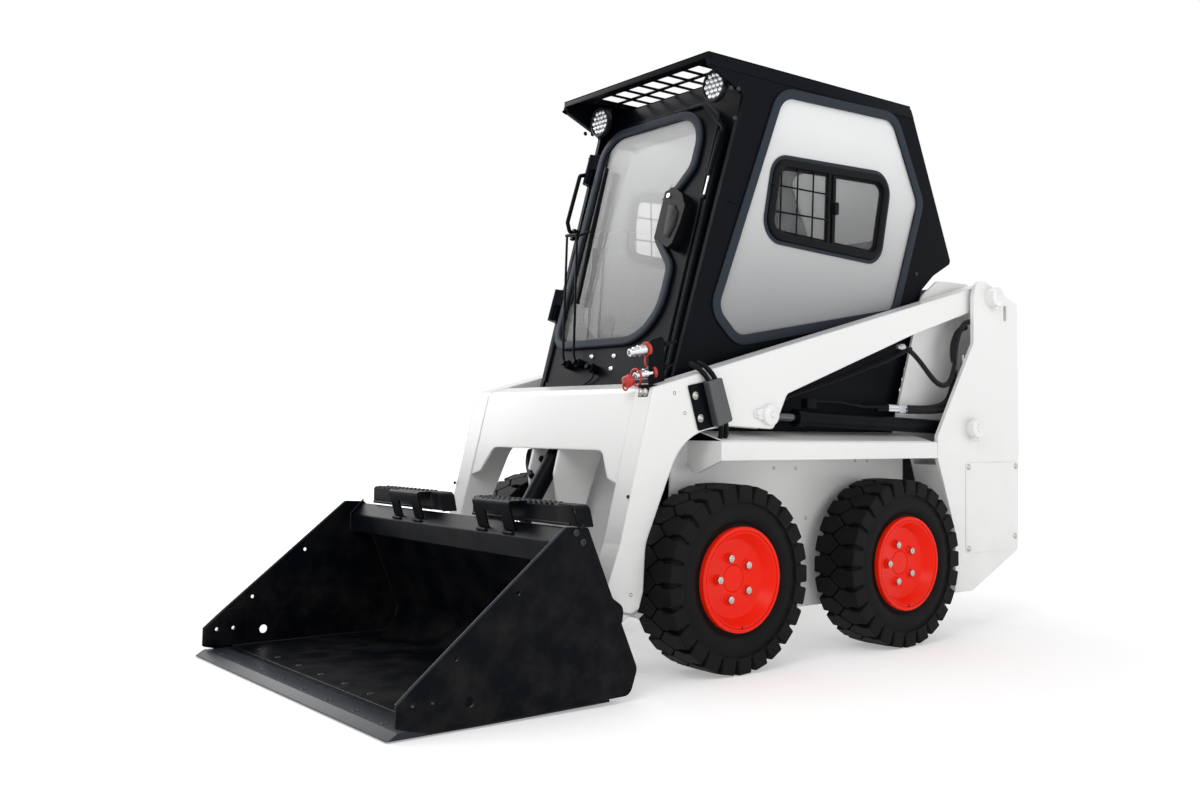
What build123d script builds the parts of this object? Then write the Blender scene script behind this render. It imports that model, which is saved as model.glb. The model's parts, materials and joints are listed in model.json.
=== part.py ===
from build123d import *
import math
import os

# Skid steer loader, millimetres. +Z is up, the bucket is at -Y and +X is the machine's left.
# The origin is on the ground under the middle of the overall length. Side views are drawn
# from the middle of the wheelbase, so their rows give (y from there, height, corner round).

# ------------------------------------------------------------------ driving sizes
datum_y = 235.0          # middle of the wheelbase, behind the origin
wheel_base = 794.0
tyre_radius = 290.0
tyre_width = 175.0
tyre_mid_x = 502.5       # middle of a tyre from the centre plane
tyre_shoulder = 30.0
rim_flange_radius = 160.0
rim_seat_radius = 148.0
rim_dish_radius = 137.0
rim_flange_width = 6.0
rim_disc_inset = 42.0    # from the outer flange face to the disc
rim_disc_thickness = 8.0
wheel_cap_radius = 43.5
wheel_nut_pcd = 132.0
wheel_nut_count = 5
wheel_nut_radius = 13.0
wheel_nut_height = 16.0
wheel_stud_radius = 8.0
axle_radius = 30.0
hub_radius = 62.0
running_gap = 0.3        # pins and shafts in their bores
side_gap = 4.0           # between an eye or arm and the plates beside it

case_inner_x = 270.0     # chain cases, one on each side of the tub
case_outer_x = 370.0
case_top_z = 470.0
belly_z = 142.0
plate = 8.0
tub_front_y = -590.0
tub_rear_y = 850.0
rail_inner_x = 340.0     # under the feet of the cab sides
rail_outer_x = 530.0
rail_top_z = 711.0
rail_drop = 60.0
rail_front_y = -430.0
rail_rear_y = 640.0
housing_radius = 78.0
housing_length = 32.0

tower_inner_x = 396.0
tower_inner_plate = 10.0
tower_outer_x = 530.0
tower_outer_plate = 15.0
arm_pivot_y = 968.0
arm_pivot_z = 1265.0
arm_pin_radius = 22.0
arm_pin_head_radius = 36.0
arm_pin_head_length = 22.0
lift_rear_pin_y = 840.0
lift_rear_pin_z = 761.0
lift_front_pin_y = -195.0
lift_front_pin_z = 795.0
lift_pin_radius = 16.0

arm_inner_x = 420.0
arm_outer_x = 500.0
arm_end_radius = 51.0
arm_wall = 12.0
bucket_pin_y = -832.0
bucket_pin_z = 203.0
bucket_pin_radius = 18.0
bucket_boss_radius = 42.0

cylinder_x = 460.0
lift_barrel_radius = 26.0
lift_barrel_length = 875.0
lift_rod_radius = 15.0
tilt_barrel_radius = 30.0
tilt_barrel_length = 350.0
tilt_rod_radius = 17.0
tilt_pin_radius = 16.0
tilt_base_y = -632.0
tilt_base_z = 740.0
tilt_rod_pin_y = -891.0
tilt_rod_pin_z = 330.0
fin_x = 74.0
fin_thickness = 12.0
lug_x = 31.0
lug_thickness = 16.0

cab_roof_x = 408.0       # half width of the cab under its roof
side_lean = 2.0          # lean of the cab sides, degrees, narrower at the foot
cab_wall = 16.0
roof_bottom_z = 1955.0
roof_sheet = 20.0
front_slope = 16.0       # lean of the cab front, degrees
front_foot_y = -495.0    # door plane at the foot of the cab front
front_foot_z = 908.0
door_side_gap = 6.4      # door to the cab sides at its foot
door_foot = -25.0        # distance down the slope of the cab front
door_head_gap = 78.0     # door's head to the roof, along the slope
door_thickness = 24.0
frame_gap = 4.0          # door to the frame behind it
glass_thickness = 6.0
hinge_offset = 43.0      # cab door hinge line, out from the door's edge
hinge_depth = -15.0
hinge_knuckle = 11.0
hinge_pin = 5.0
hinge_length = 60.0
hinge_shares = [0.297, 0.841]  # of the door's height

bucket_outer_x = 668.0
bucket_side = 6.0
bucket_sheet = 8.0
bucket_heel_round = 90.0

os.makedirs("parts", exist_ok=True)


def side(x):
    """Side view plane at x: sketch x is y from the wheelbase middle, sketch y is height."""
    return Plane(origin=(x, datum_y, 0), x_dir=(0, 1, 0), z_dir=(1, 0, 0))


def front(y):
    """Front view plane: sketch x is x, sketch y is height, extrusion goes to the front."""
    return Plane(origin=(0, datum_y + y, 0), x_dir=(1, 0, 0), z_dir=(0, -1, 0))


def level(z):
    """Plan plane: sketch x is x, sketch y is y from the wheelbase middle."""
    return Plane(origin=(0, datum_y, z), x_dir=(1, 0, 0), z_dir=(0, 0, 1))


def leaning(depth):
    """Plane of the cab front, depth behind the door plane: sketch x is x, y runs up the slope."""
    lean = math.radians(front_slope)
    back = Vector(0, math.cos(lean), -math.sin(lean))
    foot = Vector(0, datum_y + front_foot_y, front_foot_z)
    return Plane(origin=foot + back * depth, x_dir=(1, 0, 0), z_dir=-back)


def rising(along_slope):
    """Plane square to the cab front, at a distance up it: sketch x is x, y is the depth behind."""
    lean = math.radians(front_slope)
    up = Vector(0, math.sin(lean), math.cos(lean))
    foot = Vector(0, datum_y + front_foot_y, front_foot_z)
    return Plane(origin=foot + up * along_slope, x_dir=(1, 0, 0), z_dir=up)


def flank(inset, hand=1):
    """Plane of a cab side (1 is left), inset from its outer face: sketch x is y, y is height."""
    lean = math.radians(side_lean)
    up = Vector(hand * math.sin(lean), 0, math.cos(lean))
    out = Vector(hand * math.cos(lean), 0, -math.sin(lean))
    roof_edge = Vector(hand * cab_roof_x, datum_y, roof_bottom_z)
    return Plane(origin=roof_edge - up * roof_bottom_z - out * inset, x_dir=(0, 1, 0), z_dir=out)


def trim_between_sides():
    """Cut the part being built to the space between the two cab sides."""
    for hand in (1, -1):
        split(bisect_by=flank(cab_wall, hand), keep=Keep.BOTTOM)


def outline(corners, mode=Mode.ADD):
    """Closed face from rows of (across, up, corner round)."""
    with BuildLine() as edge:
        FilletPolyline(
            *[(across, up) for across, up, turn in corners],
            radius=[turn for across, up, turn in corners],
            close=True,
        )
    make_face(edge.edges(), mode=mode)


def folded(bends, thickness):
    """Face of a folded plate from rows of (across, up, bend round), lying left of that path."""
    spots = [Vector(across, up) for across, up, turn in bends]
    runs = [(after - before).normalized() for before, after in zip(spots, spots[1:])]
    far_side = []
    for spot, before, after, row in zip(spots, [runs[0]] + runs, runs + [runs[-1]], bends):
        middle = (before + after).normalized()
        reach = thickness / middle.dot(before)
        bend = before.cross(after).Z
        turn = row[2] - math.copysign(1, bend) * thickness if row[2] > 0 else 0
        far_side.append((spot.X - reach * middle.Y, spot.Y + reach * middle.X, max(turn, 0)))
    outline(list(bends) + far_side[::-1])


def disc(x, y, z, radius, length):
    """Cylinder along X that starts at x, added to the part being built."""
    with BuildSketch(side(x)) as section:
        with Locations((y, z)):
            Circle(radius)
    extrude(section.sketch, amount=length)


def bore(x, y, z, radius, length):
    """Round hole along X that starts at x."""
    with BuildSketch(side(x)) as section:
        with Locations((y, z)):
            Circle(radius)
    extrude(section.sketch, amount=length, mode=Mode.SUBTRACT)


def round_bar(line, start, stop, radius, mode=Mode.ADD):
    """Cylinder between two distances along a plane's Z."""
    with BuildSketch(line.offset(start)) as section:
        Circle(radius)
    extrude(section.sketch, amount=stop - start, mode=mode)


def save(piece, name):
    piece.part.label = name
    export_step(piece.part, f"parts/{name}.step")


# ------------------------------------------------------------------ wheels
wheels = [  # name, side (1 is left), y of the axle
    ("front_left", 1, -wheel_base / 2),
    ("front_right", -1, -wheel_base / 2),
    ("rear_left", 1, wheel_base / 2),
    ("rear_right", -1, wheel_base / 2),
]
tyre_outer_x = tyre_mid_x + tyre_width / 2
tyre_inner_x = tyre_mid_x - tyre_width / 2
flange_x = tyre_outer_x + rim_flange_width
disc_x = flange_x - rim_disc_inset - rim_disc_thickness
axle_z = tyre_radius


def wheel_section(y):
    """Section plane through a left wheel's axle: sketch x is x, sketch y is the radius."""
    return Plane(origin=(0, datum_y + y, axle_z), x_dir=(1, 0, 0), z_dir=(0, -1, 0))


for name, hand, axle_y in wheels:
    axle = Axis((0, datum_y + axle_y, axle_z), (1, 0, 0))
    with BuildPart() as tyre:
        with BuildSketch(wheel_section(axle_y)):
            outline([
                (tyre_inner_x, rim_seat_radius, 0),
                (tyre_outer_x, rim_seat_radius, 0),
                (tyre_outer_x, tyre_radius - 60, 20),
                (tyre_outer_x - 6, tyre_radius, tyre_shoulder),
                (tyre_inner_x + 6, tyre_radius, tyre_shoulder),
                (tyre_inner_x, tyre_radius - 60, 20),
            ])
        revolve(axis=axle)
        if hand < 0:
            mirror(about=Plane.YZ, mode=Mode.REPLACE)
    save(tyre, f"tyre_{name}")

    with BuildPart() as rim:
        with BuildSketch(wheel_section(axle_y)):
            outline([
                (tyre_inner_x - rim_flange_width, rim_flange_radius, 2),
                (tyre_inner_x - rim_flange_width, rim_dish_radius, 2),
                (disc_x, rim_dish_radius, 10),
                (disc_x, 0, 0),
                (disc_x + rim_disc_thickness, 0, 0),
                (disc_x + rim_disc_thickness, rim_dish_radius, 10),
                (flange_x, rim_dish_radius, 2),
                (flange_x, rim_flange_radius, 2),
                (tyre_outer_x, rim_flange_radius, 0),
                (tyre_outer_x, rim_seat_radius, 0),
                (tyre_inner_x, rim_seat_radius, 0),
                (tyre_inner_x, rim_flange_radius, 0),
            ])
        revolve(axis=axle)
        disc(case_outer_x + 1, axle_y, axle_z, axle_radius, disc_x - case_outer_x - 1)
        disc(disc_x - 40, axle_y, axle_z, hub_radius, 40)
        disc(disc_x + rim_disc_thickness, axle_y, axle_z, wheel_cap_radius, 5)
        with BuildSketch(side(disc_x + rim_disc_thickness)):
            with Locations((axle_y, axle_z)):
                with PolarLocations(wheel_nut_pcd / 2, wheel_nut_count, start_angle=180):
                    RegularPolygon(wheel_nut_radius, 6)
        extrude(amount=wheel_nut_height)
        if hand < 0:
            mirror(about=Plane.YZ, mode=Mode.REPLACE)
    save(rim, f"rim_{name}")

# ------------------------------------------------------------------ tub and axle housings
with BuildPart() as tub:
    with BuildSketch(side(case_inner_x)):
        outline([
            (tub_front_y, belly_z + 60, 20),
            (tub_front_y + 40, belly_z, 20),
            (tub_rear_y, belly_z, 10),
            (tub_rear_y, case_top_z, 10),
            (tub_front_y, case_top_z, 10),
        ])
    extrude(amount=case_outer_x - case_inner_x)
    with BuildSketch(side(case_outer_x - plate)):
        outline([
            (tub_front_y + 90, case_top_z - 1, 0),
            (rail_rear_y, case_top_z - 1, 0),
            (rail_rear_y, rail_top_z, 0),
            (tub_front_y + 90, rail_top_z, 30),
        ])
    extrude(amount=plate)
    with BuildSketch(front(rail_front_y)):
        outline([
            (rail_inner_x, rail_top_z, 0),
            (rail_outer_x, rail_top_z, 10),
            (rail_outer_x, rail_top_z - rail_drop, 0),
            (rail_outer_x - plate, rail_top_z - rail_drop, 0),
            (rail_outer_x - plate, rail_top_z - plate, 4),
            (rail_inner_x, rail_top_z - plate, 0),
        ])
    extrude(amount=rail_front_y - rail_rear_y)
    with BuildSketch(front(rail_front_y)):
        outline([
            (case_outer_x, rail_top_z, 0),
            (rail_outer_x, rail_top_z, 10),
            (rail_outer_x, rail_top_z - rail_drop, 0),
            (case_outer_x, rail_top_z - rail_drop - 60, 40),
        ])
    extrude(amount=-plate)
    with BuildSketch(side(case_outer_x)):
        outline([(760, 190, 0), (846, 190, 0), (846, 450, 0), (760, 450, 0)])
    extrude(amount=tower_inner_x - case_outer_x)
    mirror(about=Plane.YZ)
    with BuildSketch(side(-case_inner_x)):
        folded([(tub_front_y + 60, belly_z, 0), (846, belly_z, 20), (1052, 238, 0)], plate)
        folded([
            (-505, 868, 0),
            (tub_front_y + 20, 480, 60),
            (tub_front_y + 20, 250, 60),
            (tub_front_y + 70, belly_z, 0),
        ], plate)
    extrude(amount=2 * case_inner_x)
save(tub, "chassis_tub")

with BuildPart() as housings:
    for name, hand, axle_y in wheels:
        start = case_outer_x if hand > 0 else -case_outer_x - housing_length
        disc(start, axle_y, axle_z, housing_radius, housing_length)
        bore(start, axle_y, axle_z, axle_radius + running_gap, housing_length)
save(housings, "axle_housings")

# ------------------------------------------------------------------ towers
outer_edge = [  # y, z, round
    (862, 1262, 10),
    (880, 1321, 40),
    (939, 1321, 30),
    (1142, 1248, 10),
    (1148, 637, 0),
    (1141, 293, 10),
    (846, 156, 10),
    (743, 156, 10),
    (745, 379, 30),
    (642, 650, 10),
    (642, 732, 20),
    (860, 1083, 20),
]
inner_edge = [  # y, z, round
    (576, 848, 0),
    (650, 1078, 200),
    (712, 1260, 90),
    (806, 1325, 40),
    (985, 1328, 30),
    (1130, 1262, 10),
    (1130, 288, 0),
    (846, 156, 0),
    (743, 156, 0),
    (743, 379, 30),
    (650, rail_top_z - rail_drop, 0),
    (650, 716, 0),
    (540, 716, 0),
]
inner_face_x = tower_inner_x + tower_inner_plate
outer_face_x = tower_outer_x - tower_outer_plate

with BuildPart() as tower_left:
    with BuildSketch(side(outer_face_x)):
        outline(outer_edge)
    extrude(amount=tower_outer_plate)
    with BuildSketch(side(tower_inner_x)):
        outline(inner_edge)
    extrude(amount=tower_inner_plate)
    with BuildSketch(side(inner_face_x)):
        folded([
            (1126, 1240, 0),
            (1126, 300, 20),
            (846, 168, 20),
            (755, 168, 10),
            (757, 383, 20),
            (664, 628, 0),
        ], plate)
    extrude(amount=outer_face_x - inner_face_x)
    disc(inner_face_x, arm_pivot_y, arm_pivot_z, arm_pin_radius, outer_face_x - inner_face_x)
    disc(tower_outer_x, arm_pivot_y, arm_pivot_z, arm_pin_head_radius, arm_pin_head_length)
    disc(inner_face_x, lift_rear_pin_y, lift_rear_pin_z, lift_pin_radius,
         outer_face_x - inner_face_x)
    disc(tower_outer_x, lift_rear_pin_y, lift_rear_pin_z, lift_pin_radius + 14, 14)
    with BuildSketch(side(outer_face_x)):
        with Locations((1062, 1208)):
            SlotOverall(62, 20, rotation=90)
    extrude(amount=tower_outer_plate, mode=Mode.SUBTRACT)
    bore(tower_inner_x, 1116, 1206, 8 + running_gap, tower_inner_plate)
save(tower_left, "tower_left")
rear_hinge_x = -391.0
rear_hinge_y = 1138.0
rear_hinge_places = [560.0, 1000.0]
with BuildPart() as tower_right:
    mirror(tower_left.part, about=Plane.YZ)
    for place in rear_hinge_places:
        with BuildSketch(level(place)):
            with Locations((rear_hinge_x, rear_hinge_y)):
                Circle(9)
            outline([(-406, 1118, 0), (-396, 1118, 0), (-391, 1131, 0), (-393, 1146, 0),
                     (-406, 1140, 0)])
        extrude(amount=-36)
        with BuildSketch(level(place)):
            with Locations((rear_hinge_x, rear_hinge_y)):
                Circle(hinge_pin)
        extrude(amount=36)
save(tower_right, "tower_right")

with BuildPart() as tower_covers:
    with BuildSketch(side(tower_outer_x)):
        outline([(806, 632, 14), (1140, 632, 14), (1134, 330, 14), (1060, 296, 14), (806, 296, 14)])
    extrude(amount=3)
    mirror(about=Plane.YZ)
save(tower_covers, "tower_covers")

# ------------------------------------------------------------------ engine bay
rear_y = 1140.0
door_bottom_z = 436.0
door_top_z = 1176.0
hood_z = 1296.0
hood_front_y = 900.0
hood_pin_y = 1116.0
hood_pin_z = 1206.0
door_depth = 36.0
door_hinge_x = -382.0

with BuildPart() as bumper:
    with BuildSketch(side(-tower_inner_x)):
        outline([(1052, 254, 6), (1136, 292, 10), (1144, 430, 10), (1052, 430, 10)])
    extrude(amount=2 * tower_inner_x)
save(bumper, "rear_bumper")

with BuildPart() as engine:
    with BuildSketch(level(330)):
        with Locations((0, 840)):
            RectangleRounded(440, 400, 20)
    extrude(amount=560)
    with BuildSketch(level(belly_z + plate)):
        with Locations((0, 735)):
            with GridLocations(380, 130, 2, 2):
                Circle(28)
    extrude(until=Until.NEXT)
save(engine, "engine_block")

with BuildPart() as deck:
    with BuildSketch(side(-tower_inner_x)):
        folded([(820, 1180, 0), (820, hood_z, 20), (hood_front_y - 2, hood_z, 0)], 6)
    extrude(amount=2 * tower_inner_x)
save(deck, "engine_deck")

with BuildPart() as hood:
    with BuildSketch(side(-tower_inner_x + side_gap + 1)):
        folded([
            (rear_y - 6, door_top_z + 16, 0),
            (rear_y - 6, hood_z, 50),
            (hood_front_y + 6, hood_z, 0),
        ], 5)
    extrude(amount=2 * (tower_inner_x - side_gap - 1))
    for start in (-tower_inner_x + side_gap + 1, tower_inner_x - side_gap - 9):
        with BuildSketch(side(start)):
            outline([(1098, 1198, 12), (1130, 1194, 0), (1130, 1292, 0), (1098, 1292, 0)])
        extrude(amount=8)
    disc(-inner_face_x, hood_pin_y, hood_pin_z, 8, inner_face_x - tower_inner_x + side_gap + 3)
    disc(tower_inner_x - side_gap - 3, hood_pin_y, hood_pin_z, 8,
         inner_face_x - tower_inner_x + side_gap + 3)
save(hood, "engine_hood")

with BuildPart() as rear_door:
    with BuildSketch(front(rear_y)):
        outline([
            (door_hinge_x, door_bottom_z, 20),
            (-door_hinge_x, door_bottom_z, 20),
            (-door_hinge_x, door_top_z, 20),
            (door_hinge_x, door_top_z, 20),
        ])
    extrude(amount=door_depth)
    offset(amount=-5, openings=rear_door.faces().sort_by(Axis.Y)[0])
    with BuildSketch(front(rear_y)):
        with Locations((0, 800)):
            with GridLocations(0, 44, 1, 11):
                SlotOverall(560, 22)
    extrude(amount=door_depth, mode=Mode.SUBTRACT)
    for place in rear_hinge_places:
        with BuildSketch(level(place + running_gap)):
            outline([(rear_hinge_x, rear_y - 5, 0), (-360, rear_y - 5, 0),
                     (-360, rear_y + 3, 0), (rear_hinge_x, rear_y + 3, 0)])
            with Locations((rear_hinge_x, rear_hinge_y)):
                Circle(9)
                Circle(hinge_pin + running_gap, mode=Mode.SUBTRACT)
        extrude(amount=36)
save(rear_door, "rear_door")

# ------------------------------------------------------------------ lift arms
arm_front_y = -683.0
arm_front_z = 870.0
arm_rear_z = 1316.0


def arm_top(y):
    """Height of the arm's straight top edge."""
    share = (y - arm_front_y) / (arm_pivot_y - arm_front_y)
    return arm_front_z + share * (arm_rear_z - arm_front_z)


arm_edge = [  # y, z, round
    (arm_front_y, arm_front_z, 25),
    (arm_pivot_y, arm_rear_z, 0),
    (968, 1228, 0),
    (890, 1207, 0),
    (524, 1093, 0),
    (-112, 866, 30),
    (-150, 792, 10),
    (-176, 750, 20),
    (-360, 758, 20),
    (-560, 735, 190),
    (-706, 405, 150),
    (-712, 270, 20),
    (-728, 218, 15),
    (-842, 158, 34),
    (-879, 200, 34),
    (-826, 340, 60),
    (-800, 410, 30),
]
with BuildPart() as arm_left:
    with BuildSketch(side(arm_inner_x)):
        outline(arm_edge)
        with Locations((arm_pivot_y, arm_pivot_z)):
            Circle(arm_end_radius)
    extrude(amount=arm_outer_x - arm_inner_x)
    with BuildSketch(side(arm_inner_x + arm_wall)):
        outline([(-290, 700, 0), (-60, 700, 0), (-60, 850, 0), (-290, 850, 30)])
    extrude(amount=arm_outer_x - arm_inner_x - 2 * arm_wall, mode=Mode.SUBTRACT)
    for start in (arm_inner_x, arm_outer_x - arm_wall):
        disc(start, lift_front_pin_y, lift_front_pin_z, lift_pin_radius + 22, arm_wall)
    bore(arm_inner_x, arm_pivot_y, arm_pivot_z, arm_pin_radius + running_gap, 80)
    bore(arm_inner_x, bucket_pin_y, bucket_pin_z, bucket_pin_radius + running_gap, 80)
save(arm_left, "arm_left")
with BuildPart() as arm_right:
    mirror(arm_left.part, about=Plane.YZ)
save(arm_right, "arm_right")

portal = [  # x, z of half the opening in the front plate
    (420, 580, 0),
    (368, 595, 10),
    (313, 679, 40),
    (-313, 679, 40),
    (-368, 595, 10),
    (-420, 580, 0),
]
with BuildPart() as cross_member:
    with BuildSketch(side(-arm_inner_x)):
        folded([
            (-760, 550, 0),
            (-683, 869, 24),
            (-590, 894, 20),
            (-590, 820, 0),
        ], -plate)
    extrude(amount=2 * arm_inner_x)
    with BuildSketch(front(-820)):
        outline([(420, 500, 0)] + portal + [(-420, 500, 0)])
    extrude(amount=-180, mode=Mode.SUBTRACT)
    with BuildSketch(side(fin_x - fin_thickness / 2)):
        outline([
            (-684, 836, 0),
            (-719, 690, 0),
            (-741, 600, 20),
            (-727, 500, 30),
            (-624, 474, 20),
            (-553, 666, 30),
            (-585, 836, 10),
        ])
    extrude(amount=fin_thickness)
    mirror(about=Plane.YZ)
    disc(-fin_x, tilt_base_y, tilt_base_z, tilt_pin_radius, 2 * fin_x)
save(cross_member, "cross_member")

with BuildPart() as arm_fittings:
    with BuildSketch(side(arm_outer_x)):
        outline([(-468, 897, 6), (-380, 905, 6), (-352, 774, 6), (-445, 760, 6)])
    extrude(amount=34)
    with BuildSketch(side(arm_outer_x - 60)):
        outline([(-645, arm_top(-645), 0), (-590, arm_top(-590), 0), (-590, 1030, 12),
                 (-650, 1030, 12)])
    extrude(amount=6)
save(arm_fittings, "arm_fittings")


# ------------------------------------------------------------------ cylinders
def along(start, end, x):
    """Plane at start, x given, whose Z runs to end: rows are (y, z) in the side view."""
    run = Vector(0, end[0] - start[0], end[1] - start[1])
    return Plane(origin=(x, datum_y + start[0], start[1]), x_dir=(1, 0, 0), z_dir=run)


def barrel(base, tip, x, radius, rod_radius, length, eye_radius, pin_radius, eye_width):
    """Cylinder tube with its eye at base and its gland towards tip."""
    line = along(base, tip, x)
    round_bar(line, eye_radius - 6, length, radius)
    round_bar(line, length - 40, length, radius + 4)
    round_bar(line, eye_radius + 12, length - 40, rod_radius + 5, Mode.SUBTRACT)
    round_bar(line, length - 60, length, rod_radius + running_gap, Mode.SUBTRACT)
    disc(x - eye_width / 2, base[0], base[1], eye_radius, eye_width)
    bore(x - eye_width / 2, base[0], base[1], pin_radius + running_gap, eye_width)


def rod(base, tip, x, radius, bury, eye_radius, pin_radius, eye_width):
    """Piston rod from bury inside the barrel to its eye at tip."""
    round_bar(along(base, tip, x), bury, math.dist(base, tip) - eye_radius + 4, radius)
    disc(x - eye_width / 2, tip[0], tip[1], eye_radius, eye_width)
    bore(x - eye_width / 2, tip[0], tip[1], pin_radius + running_gap, eye_width)


lift_base = (lift_rear_pin_y, lift_rear_pin_z)
lift_tip = (lift_front_pin_y, lift_front_pin_z)
with BuildPart() as lift_barrel_left:
    barrel(lift_base, lift_tip, cylinder_x, lift_barrel_radius, lift_rod_radius,
           lift_barrel_length, 30, lift_pin_radius, 56)
save(lift_barrel_left, "lift_barrel_left")
with BuildPart() as lift_barrel_right:
    mirror(lift_barrel_left.part, about=Plane.YZ)
save(lift_barrel_right, "lift_barrel_right")
with BuildPart() as lift_rod_left:
    rod(lift_base, lift_tip, cylinder_x, lift_rod_radius, 60, 27, lift_pin_radius, 40)
save(lift_rod_left, "lift_rod_left")
with BuildPart() as lift_rod_right:
    mirror(lift_rod_left.part, about=Plane.YZ)
save(lift_rod_right, "lift_rod_right")

tilt_base = (tilt_base_y, tilt_base_z)
tilt_tip = (tilt_rod_pin_y, tilt_rod_pin_z)
with BuildPart() as tilt_barrel:
    barrel(tilt_base, tilt_tip, 0, tilt_barrel_radius, tilt_rod_radius,
           tilt_barrel_length, 32, tilt_pin_radius, 70)
save(tilt_barrel, "tilt_barrel")
with BuildPart() as tilt_rod:
    rod(tilt_base, tilt_tip, 0, tilt_rod_radius, 105, 28, tilt_pin_radius, 50)
save(tilt_rod, "tilt_rod")

# ------------------------------------------------------------------ bucket and quick attach
side_edge = [  # y, z, round
    (-1597, 31, 8),
    (-1596, 89, 10),
    (-1545, 133, 10),
    (-1113, 486, 25),
    (-1039, 482, 12),
    (-923, 219, 0),
    (-866, 90, 30),
    (-890, 20, 30),
    (-1503, 8, 0),
]
back_low = (-893.0, 110.0)
back_top = (-1045.0, 481.0)
lip_fold = (-1088.0, 438.0)
lip_low = (-1086.0, 382.0)
floor_z = 14.0
floor_front_y = -1520.0
back_run = (back_top[0] - back_low[0]) / (back_top[1] - back_low[1])
heel_y = back_low[0] + back_run * (floor_z - back_low[1])
sheet_x = bucket_outer_x - bucket_side

with BuildPart() as bucket:
    for start in (-bucket_outer_x, sheet_x):
        with BuildSketch(side(start)):
            outline(side_edge)
        extrude(amount=bucket_side)
    with BuildSketch(side(-sheet_x)):
        folded([
            (floor_front_y, floor_z, 0),
            (heel_y, floor_z, bucket_heel_round),
            (back_top[0], back_top[1], 6),
            (lip_fold[0], lip_fold[1], 12),
            (lip_low[0], lip_low[1], 0),
        ], bucket_sheet)
        outline([(-1618, 4, 0), (-1500, 4, 0), (-1500, 20, 0), (-1590, 20, 0)])
    extrude(amount=2 * sheet_x)
    with BuildSketch(side(-bucket_outer_x)):
        with Locations((-1396, 69)):
            Circle(14)
        with Locations((-1553, 83), (-1499, 83), (-1436, 179), (-1257, 325)):
            Circle(6)
    extrude(amount=2 * bucket_outer_x, mode=Mode.SUBTRACT)
save(bucket, "bucket")

with BuildPart() as quick_attach:
    back_plane = Plane(
        origin=(0, datum_y + back_low[0], back_low[1]),
        x_dir=(1, 0, 0),
        z_dir=(0, back_low[1] - back_top[1], back_top[0] - back_low[0]),
    )
    with BuildSketch(back_plane):
        with Locations((0, 215)):
            Rectangle(1040, 270)
    extrude(amount=-14)
    for ear_x in (arm_inner_x - side_gap - 12, arm_outer_x + side_gap):
        with BuildSketch(side(ear_x)):
            outline([
                (bucket_pin_y + 30, bucket_pin_z - 28, 30),
                (bucket_pin_y + 36, bucket_pin_z + 30, 30),
                (-938, 330, 20),
                (-980, 340, 0),
                (-911, 172, 0),
                (-868, bucket_pin_z - 40, 20),
            ])
        extrude(amount=12)
    disc(arm_inner_x - side_gap - 12, bucket_pin_y, bucket_pin_z, bucket_pin_radius,
         arm_outer_x - arm_inner_x + 2 * side_gap + 24)
    with BuildSketch(side(lug_x)):
        outline([
            (tilt_rod_pin_y + 30, tilt_rod_pin_z - 30, 28),
            (tilt_rod_pin_y + 26, tilt_rod_pin_z + 34, 28),
            (-1004, 400, 10),
            (-945, 256, 10),
        ])
    extrude(amount=lug_thickness)
    mirror(about=Plane.YZ)
save(quick_attach, "quick_attach")

step_top_z = 539.0
step_plate = 6.0
step_rear_y = -1000.0
step_front_y = -1104.0
step_ridge_y = back_top[0] - 4
step_foot = (-1077.0, 453.0)
steps = [  # start x, leg span start and stop, bend start, outer foot
    (90, 170, 368, 545, 640),
    (-575, -363, -170, -165, -90),
]
with BuildPart() as bucket_steps:
    for start_x, legs_start, legs_stop, bend_x, foot_x in steps:
        with BuildSketch(side(start_x)):
            folded([
                (step_rear_y, step_top_z, 0),
                (step_ridge_y, step_top_z, 10),
                (step_ridge_y, back_top[1], 0),
            ], step_plate)
        extrude(amount=bend_x - start_x)
        with BuildSketch(front(step_rear_y)):
            folded([
                (foot_x, back_top[1], 0),
                (foot_x - 20, step_top_z, 30),
                (bend_x - 1, step_top_z, 0),
            ], step_plate)
        extrude(amount=step_rear_y - step_ridge_y)
        with BuildSketch(side(legs_start)):
            folded([
                (step_ridge_y + 10, step_top_z, 0),
                (step_front_y, step_top_z, 10),
                (step_foot[0], step_foot[1], 0),
            ], step_plate)
        extrude(amount=legs_stop - legs_start)
        with BuildSketch(front(step_front_y - 10)):
            with Locations(((legs_start + legs_stop) / 2, 470)):
                Rectangle(88, 70)
        extrude(amount=-60, mode=Mode.SUBTRACT)
save(bucket_steps, "bucket_steps")

# ------------------------------------------------------------------ cab
panel_foot = roof_bottom_z - (roof_bottom_z - rail_top_z) / math.cos(math.radians(side_lean))
panel_head = roof_bottom_z - cab_wall * math.sin(math.radians(side_lean))
cab_height = roof_bottom_z - rail_top_z


def on_cab(rows):
    """Rows of (y, height, round) from rows of (y, share of the cab's height, round)."""
    return [(y, rail_top_z + share * cab_height, turn) for y, share, turn in rows]


def on_front(z):
    """How far forward the door plane is at a height."""
    return front_foot_y + (z - front_foot_z) * math.tan(math.radians(front_slope))


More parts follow.
